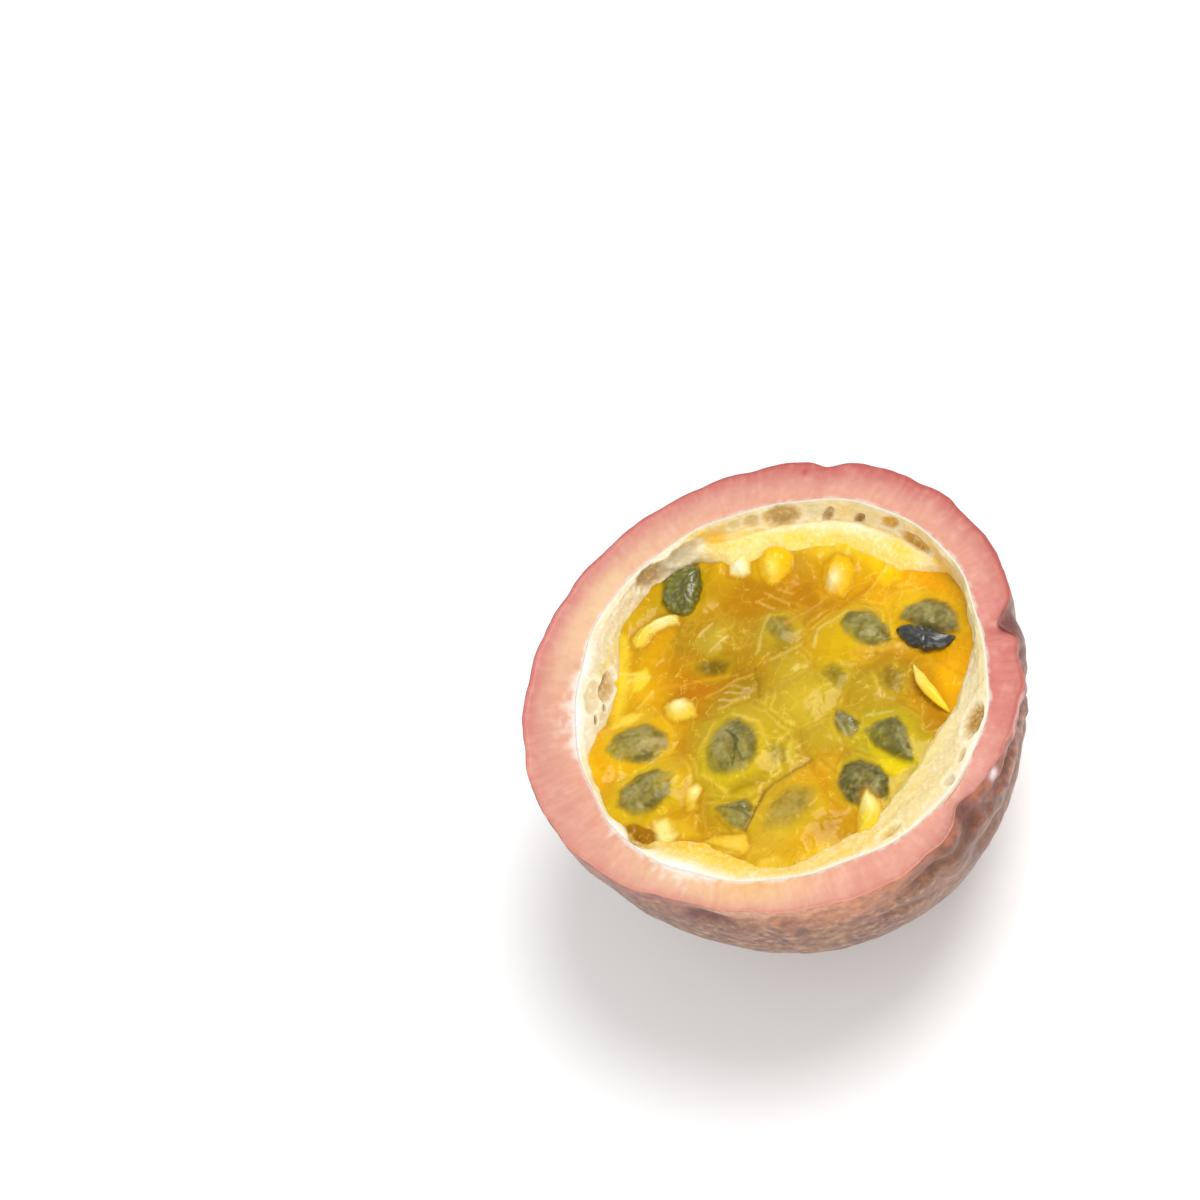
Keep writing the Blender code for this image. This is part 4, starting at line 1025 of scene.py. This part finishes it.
# Folds and strands in the film as seen: x and y of both ends, width, strength, colour
STRANDS = (
    (-5.9, -2.6, -5.3, -4.6, 0.22, 0.7, "4A4828"),
    (-5.3, -4.6, -6.8, -6.8, 0.20, 0.6, "4E4C24"),
    (-9.2, -10.2, -7.6, -12.6, 0.20, 0.6, "57522E"),
    (3.6, -13.0, 5.6, -15.4, 0.20, 0.5, "44422A"),
    (-8.6, -13.6, -5.4, -10.8, 0.30, 0.8, "8E6A10"),
    (-5.4, -10.8, 0.2, -9.6, 0.32, 0.7, "9C7818"),
    (-9.8, -13.0, -10.6, -10.8, 0.30, 0.5, "A07A14"),
    (-9.9, -6.0, -8.4, -9.0, 0.40, 0.6, "ECC63A"),
    (-8.4, -9.0, -4.0, -10.0, 0.30, 0.5, "A4820E"),
    (-4.6, -1.2, -2.7, -3.2, 0.30, 0.6, "E4C25A"),
    (-2.7, -3.2, -2.6, -6.2, 0.30, 0.6, "DDB940"),
    (-6.4, -1.0, -9.2, -3.4, 0.30, 0.5, "E0BC40"),
    (0.4, -6.6, 0.2, -9.4, 0.28, 0.5, "B08C1C"),
    (9.2, -1.2, 13.8, -3.4, 0.35, 0.4, "E2A84E"),
    (9.4, -1.9, 13.0, -3.9, 0.25, 0.5, "B87E20"),
    (5.6, 1.4, 7.0, 3.0, 0.30, 0.6, "E8CC6C"),
    (7.0, 3.0, 10.4, 3.4, 0.30, 0.6, "E4C45C"),
    (10.4, 3.4, 13.0, 2.0, 0.30, 0.5, "D8B048"),
    (0.2, 4.0, 3.2, 7.4, 0.28, 0.5, "E0C460"),
    (1.2, 2.8, 4.6, 2.6, 0.28, 0.5, "DCC058"),
    (2.6, 9.8, 4.0, 8.0, 0.22, 0.5, "E6BA5A"),
    (3.8, 10.2, 5.6, 7.8, 0.20, 0.5, "E2B04A"),
    (5.2, 10.0, 6.6, 8.4, 0.20, 0.4, "E6B650"),
    (4.4, 5.6, 9.4, 6.2, 0.28, 0.5, "E0A040"),
    (6.6, 4.2, 13.6, 4.9, 0.28, 0.4, "C47C10"),
    (-10.2, 6.0, -3.2, 3.4, 0.40, 0.4, "E7A21A"),
    (-9.4, 4.0, -5.0, 3.2, 0.30, 0.5, "BE7606"),
    (-6.2, 2.4, -0.6, 2.2, 0.28, 0.6, "DCA42A"),
    (-5.4, 0.4, -2.6, 0.2, 0.25, 0.5, "DDB866"),
    (-5.0, 1.4, -3.6, 0.4, 0.16, 0.5, "E6C878"),
    (-4.2, 1.8, -2.8, 0.7, 0.16, 0.5, "E6C878"),
    (-3.4, 2.0, -2.0, 0.9, 0.16, 0.4, "E0C070"),
    (-0.6, 2.6, -1.4, -0.6, 0.30, 0.6, "8F760C"),
    (-7.4, -0.2, -1.0, -0.4, 0.30, 0.4, "A98410"),
    (-13.2, -4.6, -11.2, -3.4, 0.30, 0.5, "C8A63C"),
    (-5.6, -6.6, -5.6, -3.2, 0.18, 0.7, "4F4F28"),
    (-5.6, -3.4, -4.4, -2.6, 0.16, 0.5, "5A5A30"),
    (-16.6, 2.4, -13.8, 1.6, 0.25, 0.4, "7C7034"),
    (-15.6, -0.6, -13.6, -1.2, 0.25, 0.5, "7C7034"),
    (4.4, -7.0, 4.6, -9.4, 0.26, 0.4, "CFC48C"),
    (4.9, -6.6, 5.9, -8.6, 0.22, 0.6, "6E6434"),
    (7.0, -8.4, 9.6, -9.4, 0.22, 0.4, "E4CC7E"),
    (8.6, -6.6, 10.2, -8.0, 0.22, 0.4, "DDBE66"),
    (12.6, -5.0, 13.2, -8.2, 0.26, 0.4, "B88618"),
    (15.6, -6.4, 17.4, -10.0, 0.26, 0.4, "D48E06"),
    (13.6, 5.0, 17.4, 6.6, 0.30, 0.4, "E09A08"),
    (12.8, 4.2, 15.6, 5.6, 0.24, 0.4, "F8CE4A"),
    (-12.8, 9.8, -11.0, 8.6, 0.30, 0.6, "FADB6A"),
    (-12.4, 8.6, -10.4, 7.8, 0.30, 0.5, "FADB6A"),
    (-13.0, 5.0, -10.6, 5.8, 0.30, 0.4, "F8D458"),
    (-11.2, -12.2, -8.8, -13.9, 0.26, 0.5, "B4820C"),
    (-12.6, -12.6, -10.2, -15.4, 0.30, 0.5, "B98A12"),
    (1.2, -10.2, 2.0, -13.0, 0.26, 0.5, "C8880A"),
    (2.6, 0.4, 4.2, 0.0, 0.22, 0.4, "E4CC6C"),
    (0.4, -1.2, 0.6, -4.8, 0.24, 0.3, "BFA024"),
    (4.6, -0.8, 4.4, -4.6, 0.24, 0.3, "B8981C"),
    (-4.0, 9.4, -2.2, 9.8, 0.22, 0.5, "ECD084"),
    (-3.6, 7.0, -1.4, 7.4, 0.22, 0.4, "EAD084"),
)


def pulp_level(x, y):
    """Height of the sacs' tops under the cut at a place on the pulp."""
    return PULP_LEVEL + PULP_SLOPE[0] * x + PULP_SLOPE[1] * y


def placed(x, y, rise=0.0):
    """The place on the pulp that is seen at x, y in mm, so much above the sacs' level."""
    height = PULP_LEVEL
    for _ in range(4):
        place = behind(x, y, height)
        height = pulp_level(place[0], place[1]) + rise
    return place


def oval(spots, x, y, length, width, degrees):
    """How far each spot is from the middle of an oval, 1 at its edge."""
    angle = math.radians(degrees)
    off = spots - np.array((x, y))
    along = off @ np.array((math.cos(angle), math.sin(angle)))
    across = off @ np.array((-math.sin(angle), math.cos(angle)))
    return np.hypot(along / (length / 2), across / (width / 2))


def from_line(spots, x0, y0, x1, y1):
    """Distance of each spot from a short straight line."""
    start = np.array((x0, y0))
    run = np.array((x1 - x0, y1 - y0))
    share = np.clip((spots - start) @ run / (run @ run), 0, 1)
    return np.hypot(*(spots - start - share[:, None] * run).T)


def depth_in(spots, outline):
    """How far inside a closed outline each spot is, in mm, and below 0 outside it."""
    nearest = np.full(len(spots), 1e6)
    inside = np.zeros(len(spots), bool)
    for (x0, y0), (x1, y1) in zip(outline, outline[1:] + outline[:1]):
        nearest = np.minimum(nearest, from_line(spots, x0, y0, x1, y1))
        level = (y0 > spots[:, 1]) != (y1 > spots[:, 1])
        crossing = x0 + (spots[:, 1] - y0) * (x1 - x0) / (y1 - y0 if y1 != y0 else 1)
        inside = inside ^ (level & (spots[:, 0] < crossing))
    return np.where(inside, nearest, -nearest)


def film_of(points):
    """Height of the film, its colour and how much of a seed shows there, at places on the pulp."""
    flat = points[:, :2] / MM
    spots = seen(np.column_stack((points[:, :2], pulp_level(points[:, 0], points[:, 1]))))
    swirl = np.column_stack((lumps(points, 2.2 * MM, 21), lumps(points, 2.2 * MM, 22))) * 0.35
    swirl = swirl + np.column_stack((lumps(points, 0.8 * MM, 23), lumps(points, 0.8 * MM, 24))) * 0.14
    bent = spots + swirl
    heights = []
    for x, y, length, width, degrees, rise, tint in SACS:
        away = oval(bent, x, y, length, width, degrees)
        heights.append(rise - np.minimum(0.9 * away ** 2, 12))
    heights = np.array(heights)
    top = np.log(np.exp(heights * 4).sum(0) + math.exp(-0.2 * 4)) / 4
    weights = np.exp(heights * 3.2)
    tints = np.array([linear(sac[-1]) for sac in SACS])
    colour = (weights.T @ tints) / weights.sum(0)[:, None]
    ordered = np.sort(heights, axis=0)
    patchy = step(lumps(points, 3.2 * MM, 28), -0.25, 0.35)
    # Painted shade and light: low places between the sacs are painted deeper amber, the tops of the domes
    # paler yellow, and the creases between sacs darker
    colour = tinted(colour, "C07C04", step(-top, -0.15, 0.2) * 0.3)
    colour = tinted(colour, "F6CE28", step(top, 0.3, 0.9) * 0.25)
    crease_shade = hill(ordered[-1] - ordered[-2], 0.2) * step(ordered[-1], -0.9, 0.1) * patchy
    colour = tinted(colour, "B98412", crease_shade * 0.35)
    pale_rim = hill(ordered[-1] - ordered[-2] - 0.3, 0.13) * step(ordered[-1], -0.7, 0.2)
    colour = tinted(colour, "FBE27C", pale_rim * (1 - 0.6 * patchy) * 0.4)
    wisp = 1 - np.abs(lumps(np.column_stack((bent, points[:, 2])) * MM, 1.5 * MM, 29)) * 2.2
    wisp = np.clip(wisp, 0, 1) ** 5 * (0.3 + 0.7 * (1 - patchy))
    colour = tinted(colour, "F0CE4E", wisp * 0.25)
    for x, y, length, width, degrees, strength, tint in PATCHES:
        colour = tinted(colour, tint, strength * hill(oval(bent, x, y, length, width, degrees), 0.95))
    for outline, soft, strength, tint in FACETS_AND_PAINTED_SHADE:
        inner = step(depth_in(spots + swirl * 1.1, outline), -soft * 0.7, soft * 0.7)
        colour = tinted(colour, tint, inner * strength)
    mottle = lumps(points, 1.1 * MM, 25) + 0.9 * lumps(points, 0.45 * MM, 30)
    shadow = lumps(points, 2.6 * MM, 35)
    bulge = np.zeros(len(points))
    in_seed = np.zeros(len(points))
    for outline, soft, strength, tint, shade in SUNK_SEEDS:
        depth = depth_in(spots + swirl * 0.7, outline)
        inner = step(depth, -soft * 0.5 - 0.15, soft * 0.5 + 0.2)
        colour = tinted(colour, "DCC61C", hill(depth + 0.6, 0.45) * 0.25 * strength)
        colour = tinted(colour, tint, inner * strength * (1 - soft * 0.15))
        in_seed = np.maximum(in_seed, inner * strength)
        rim = hill(depth - 0.1, 0.24 + soft * 0.2) * shade * strength
        colour = tinted(colour, "4E480C", rim * np.clip(0.45 + 1.4 * shadow, 0, 1))
        bulge = bulge + 0.3 * step(depth, -0.3, 0.9) * (1.1 - min(soft, 1))
    colour = toned(colour, bent, in_seed)
    colour = tinted(colour, "4B4822", in_seed * np.clip(mottle * 1.5, 0, 1) * 0.45)
    colour = tinted(colour, "C2BA94", in_seed * np.clip(-mottle * 1.5, 0, 1) * 0.45)
    weight = colour @ np.array((0.6, 0.4, 0))
    colour = colour * np.clip((weight / 0.75) ** 0.4, 0.8, 1.05)[:, None]
    colour[:, 2] *= 0.58 + 0.2 * in_seed
    for outline, soft, rise, tint, highlight_x, highlight_y, size, highlight_tint in SOFT_PEGS:
        depth = depth_in(spots + swirl * 0.6, outline)
        inner = step(depth, -soft, soft * 0.6)
        # Painted shade: darker amber round each peg where it lies in the juice
        colour = tinted(colour, "B97E06", hill(depth + 0.3, 0.3) * (1 - inner) * 0.45)
        colour = tinted(colour, tint, inner * 0.9)
        # The painted highlight on the peg
        lit = hill(np.hypot(*(bent - np.array((highlight_x, highlight_y))).T), size)
        colour = tinted(colour, highlight_tint, lit * inner * 0.9)
        bulge = bulge + rise * step(depth, -0.35, 0.8)
    groove = np.zeros(len(points))
    for x0, y0, x1, y1, width, strength, tint in STRANDS:
        away = from_line(spots + swirl * 0.8, x0, y0, x1, y1)
        colour = tinted(colour, tint, min(1, strength * 1.25) * hill(away, width * 0.6))
        dark = sum(linear(tint)) < 0.85
        groove = groove + (-0.10 if dark else 0.08) * strength * hill(away, width)
    height = (top + bulge + groove + wisp * 0.07) * MM
    height = height + lumps(points, 1.6 * MM, 26) * 0.07 * MM + lumps(points, 0.55 * MM, 27) * 0.025 * MM
    # At the left, the right and far ahead the sacs climb up the pith
    turn = np.arctan2(points[:, 1], points[:, 0])
    from_middle = np.hypot(points[:, 0], points[:, 1]) / liner_radius(turn, FILM_EDGE)
    climb = 0.8 * hill(apart(turn, 183), 15) + 1.5 * hill(apart(turn, -4), 26)
    climb = climb + 0.7 * hill(apart(turn, 80), 55)
    under_ledge = hill(apart(turn, 51), 34)
    height = height + climb * (1 - under_ledge) * MM * step(from_middle, 0.8, 1.0)
    swell = 0.8 * step(from_middle, 0.62, 0.8) - 2.0 * step(from_middle, 0.83, 0.95)
    height = height + swell * under_ledge * MM
    return pulp_level(points[:, 0], points[:, 1]) - 0.25 * MM + height, colour * DARKER, in_seed


# A square grid made round, with a skirt that runs down to one hidden foot and closes it
bm = bmesh.new()
bmesh.ops.create_grid(bm, x_segments=FILM_CELLS, y_segments=FILM_CELLS, size=1)
open_edges = [edge for edge in bm.edges if edge.is_boundary]
skirt = bmesh.ops.extrude_edge_only(bm, edges=open_edges)["geom"]
skirt_verts = [item for item in skirt if isinstance(item, bmesh.types.BMVert)]
bmesh.ops.translate(bm, verts=skirt_verts, vec=(0, 0, -1))
bmesh.ops.pointmerge(bm, verts=skirt_verts, merge_co=(0, 0, -2))
film_mesh = bpy.data.meshes.new("film")
bm.to_mesh(film_mesh)
bm.free()
square = points_of(film_mesh)
round_x = square[:, 0] * np.sqrt(1 - square[:, 1] ** 2 / 2)
round_y = square[:, 1] * np.sqrt(1 - square[:, 0] ** 2 / 2)
turn = np.arctan2(round_y, round_x)
film_radius = liner_radius(turn, FILM_EDGE) - 0.1 * MM
film = np.column_stack((round_x * film_radius, round_y * film_radius, np.zeros(len(turn))))
film[:, 2], film_colour, over_seed = film_of(film)
film[square[:, 2] < -1.5, 2] = -HEAP_FOOT
keep_colour(film_mesh, "juice_colour", film_colour, 1 - 0.85 * over_seed)

# Juice under a wet membrane: deep yellow, glossy, and soft where light goes into it
juice_material, tree = new_material("juice_under_wet_membrane")
painted = add(tree, "Attribute", {"attribute_name": "juice_colour"})
place = add(tree, "TexCoord").outputs["Object"]
folds = noise_of(tree, place, 0.9 * MM, 4, 0.55, 0.8)
crinkle = noise_of(tree, place, 4.2 * MM, 4, 0.5, 0.5)
broken = spread(tree, folds, 0.42, 0.56)
colour = laid_over(tree, painted.outputs["Color"], "F6CC3C", spread(tree, folds, 0.52, 0.8, 0.0, 0.15))
for level, strength, tint in ((0.46, 0.35, "8A7410"), (0.52, 0.3, "FADF60"), (0.4, 0.3, "80700F")):
    away = combined(tree, "ABSOLUTE", combined(tree, "SUBTRACT", crinkle, level))
    line = add(tree, "MapRange", {"interpolation_type": "SMOOTHSTEP"}, {
        "Value": away, "From Min": 0.0, "From Max": 0.010, "To Min": strength, "To Max": 0.0})
    here = combined(tree, "MULTIPLY", line.outputs["Result"], broken)
    colour = laid_over(tree, colour, tint, combined(tree, "MULTIPLY", here, painted.outputs["Alpha"]))
relief = relief_of(tree, combined(tree, "ADD", folds, crinkle), 0.14 * MM, 0.4)
give_surface(tree, colour, spread(tree, folds, 0.0, 1.0, 0.15, 0.35), relief, {
    "IOR": 1.2, "Specular Tint": (1.0, 0.8, 0.25, 1), "Coat Weight": 0.2, "Coat Roughness": 0.12,
    "Subsurface Weight": 0.1, "Subsurface Radius": (1.0, 0.85, 0.15), "Subsurface Scale": 0.4 * MM})
finish_piece("juice_sacs", film_mesh, film, (juice_material,), "pulp")

# Bare seeds
# Hard flat seeds with a pitted shell that break through the sacs, fixed by the juice around them.
# Each is a piece, wet and dark, and all but the black one keep a veil of their torn sac.
SEED_COLUMNS = 96
SEED_ROWS = 30
# Name, outline as seen, rise and thickness in mm, slope in X and Y, colour, dark colour, veil
BARE_SEEDS = (
    # On the black seed the grey colour between the dark pits is a painted glint of its wet shell
    ("black_seed", ((13.6, -0.8), (13.8, -2.4), (14.7, -3.9), (16.0, -4.9), (17.5, -5.3), (18.7, -4.9),
     (17.5, -4.1), (16.4, -2.9), (15.4, -1.6), (14.5, -0.8)), 0.7, 1.9, (0.0, 0.0),
     "50534B", "12110C", 0.0),
    ("far_seed", ((-5.6, 15.0), (-5.2, 16.3), (-4.2, 17.4), (-2.8, 17.7), (-1.6, 17.5), (-0.6, 16.9),
     (-1.0, 15.8), (-1.8, 14.4), (-2.8, 13.2), (-3.9, 12.6), (-4.9, 13.4)), 1.0, 2.0, (0.0, 0.12),
     "8E8A1E", "2C2A06", 0.5),
    ("near_seed", ((1.6, -15.8), (1.7, -13.9), (2.9, -12.7), (4.4, -12.7), (5.5, -14.4), (5.7, -15.9),
     (5.0, -17.4), (3.7, -16.4), (2.4, -16.8)), -0.1, 1.6, (0.0, 0.0), "807A50", "3C3810", 0.5),
    ("thin_seed", ((4.8, -6.3), (4.3, -7.6), (4.3, -8.9), (4.8, -9.7), (5.4, -9.7), (5.7, -8.6),
     (5.3, -7.2)), 0.0, 1.2, (0.1, 0.0), "B0A878", "5E5A34", 0.4),
    ("wedge_seed", ((-10.0, -10.1), (-8.6, -10.1), (-7.3, -10.6), (-7.0, -11.6), (-8.6, -13.4),
     (-9.5, -12.4)), 0.0, 1.5, (0.0, 0.05), "97904A", "4E4A24", 0.6),
)


def pebble(outline, rise, thickness, slope):
    """A flat pebble with the outline that shows: its mesh, its points from its middle, the middle."""
    mesh = ring_stack(SEED_COLUMNS, SEED_ROWS)
    turn, row = turns_and_rows(mesh)
    swing = math.pi * row / (SEED_ROWS - 1)
    corners = np.array([placed(x, y, rise * MM) for x, y in outline])
    middle = corners.mean(0)
    reach = np.hypot(*(corners - middle)[:, :2].T)
    heading = np.arctan2(*(corners - middle)[:, 1::-1].T)
    edge = np.interp(turn, heading[np.argsort(heading)], reach[np.argsort(heading)], period=2 * math.pi)
    girth = edge * np.sin(swing) ** 0.6
    height = -np.cos(swing) * thickness / 2 * MM
    body = np.column_stack((girth * np.cos(turn), girth * np.sin(turn), height))
    body[:, 2] += body[:, 0] * slope[0] + body[:, 1] * slope[1]
    return mesh, body, middle


# Seed shell: hard and woody, glossy only because it is wet
seed_material, tree = new_material("wet_pitted_seed_shell")
fine = noise_of(tree, add(tree, "TexCoord").outputs["Object"], 0.3 * MM, 3)
give_surface(tree, kept_in_mesh(tree, "seed_colour"), spread(tree, fine, 0.0, 1.0, 0.2, 0.45),
             relief_of(tree, fine, 0.08 * MM, 0.4), {"Coat Weight": 0.4, "Coat Roughness": 0.12})

for name, outline, rise, thickness, slope, tint, dark, veil in BARE_SEEDS:
    seed_mesh, body, middle = pebble(outline, rise, thickness, slope)
    pits = np.abs(lumps(body, 0.6 * MM, 31 + len(name))) * 1.6
    normal = body / np.maximum(np.linalg.norm(body, axis=1), 1e-9)[:, None]
    rough = lumps(body, 1.3 * MM, 33) * 0.14 * MM - (1 - np.clip(pits, 0, 1)) * 0.14 * MM
    seed = body + normal * rough[:, None] + middle - np.array((0, 0, thickness / 2 * MM - 0.25 * MM))
    shade = np.clip((1 - pits) * 0.9, 0, 1)
    colour = tinted(np.tile(linear(tint), (len(body), 1)), dark, shade) * DARKER
    if veil:
        colour = toned(colour, seen(seed), np.full(len(seed), 0.6))
    film_height, around, _ = film_of(seed)
    sunk_share = 1 - step(seed[:, 2] - film_height, 0.0 * MM, 0.5 * MM)
    colour = colour + (around - colour) * (veil * sunk_share)[:, None]
    keep_colour(seed_mesh, "seed_colour", colour)
    finish_piece(name, seed_mesh, seed, (seed_material,), None)

# The slender peg
# One of the pale waxy stalks that held the seeds to the pith, torn off. It is a soft tapered rod
# that stands free of the juice but for its root. The other stalks lie in the juice, in the film.
PEG_COLUMNS = 48
PEG_ROWS = 64
# Places along it from root to tip, as seen, with the rise there, and widths along it, in mm
PEG_ROUTE = ((14.3, -12.8, -0.5), (13.8, -10.4, 0.3), (13.45, -8.0, 0.5), (13.5, -5.8, 0.5))
PEG_WIDTHS = (0.5, 0.85, 1.25, 1.2, 0.3)
PEG_COLOUR = "FAD626"

peg_mesh = ring_stack(PEG_COLUMNS, PEG_ROWS)
turn, row = turns_and_rows(peg_mesh)
share = row / (PEG_ROWS - 1)
stops = np.array([placed(x, y, rise * MM) for x, y, rise in PEG_ROUTE])
curves = [np.poly1d(np.polyfit(np.linspace(0, 1, len(stops)), stops[:, axis], 3)) for axis in range(3)]
middle = np.column_stack([curve(share) for curve in curves])
heading = np.column_stack([curve.deriv()(share) for curve in curves])
heading = heading / np.linalg.norm(heading, axis=1)[:, None]
sideways = np.cross(heading, (0, 0, 1))
sideways = sideways / np.linalg.norm(sideways, axis=1)[:, None]
above = np.cross(sideways, heading)
thick = np.interp(share, np.linspace(0, 1, len(PEG_WIDTHS)), PEG_WIDTHS) / 2 * MM
thick = thick * np.sin(math.pi * share) ** 0.3
around = middle + sideways * 2 * MM * np.cos(turn)[:, None]
thick = thick * (1 + 0.12 * lumps(around, 1.5 * MM, 41))
peg = middle + sideways * (thick * np.cos(turn))[:, None] + above * (thick * 0.75 * np.sin(turn))[:, None]
film_height, around, _ = film_of(peg)
raised = step(peg[:, 2] - film_height, 0, 0.7 * MM)
colour = around + (np.array(linear(PEG_COLOUR)) * DARKER - around) * (0.15 + 0.85 * raised)[:, None]
# A painted highlight along the top of the peg where it stands out of the juice
colour = tinted(colour, "FFFBE4", raised * step(share, 0.3, 0.8) * hill(np.sin(turn) - 1, 0.8) * 0.15)
keep_colour(peg_mesh, "peg_colour", colour)

# Peg: soft white plant tissue soaked in juice, waxy and translucent
peg_material, tree = new_material("waxy_soaked_peg")
fine = noise_of(tree, add(tree, "TexCoord").outputs["Object"], 0.7 * MM, 3)
relief = relief_of(tree, fine, 0.1 * MM, 0.3)
soaked = laid_over(tree, kept_in_mesh(tree, "peg_colour"), "F5C528",
                   spread(tree, fine, 0.5, 0.75, 0.0, 0.4))
give_surface(tree, soaked, spread(tree, fine, 0.0, 1.0, 0.22, 0.4), relief, {
    "IOR": 1.36, "Subsurface Weight": 0.4, "Subsurface Radius": (1.0, 0.8, 0.3),
    "Subsurface Scale": 0.8 * MM})
finish_piece("spike_peg", peg_mesh, peg, (peg_material,), None)
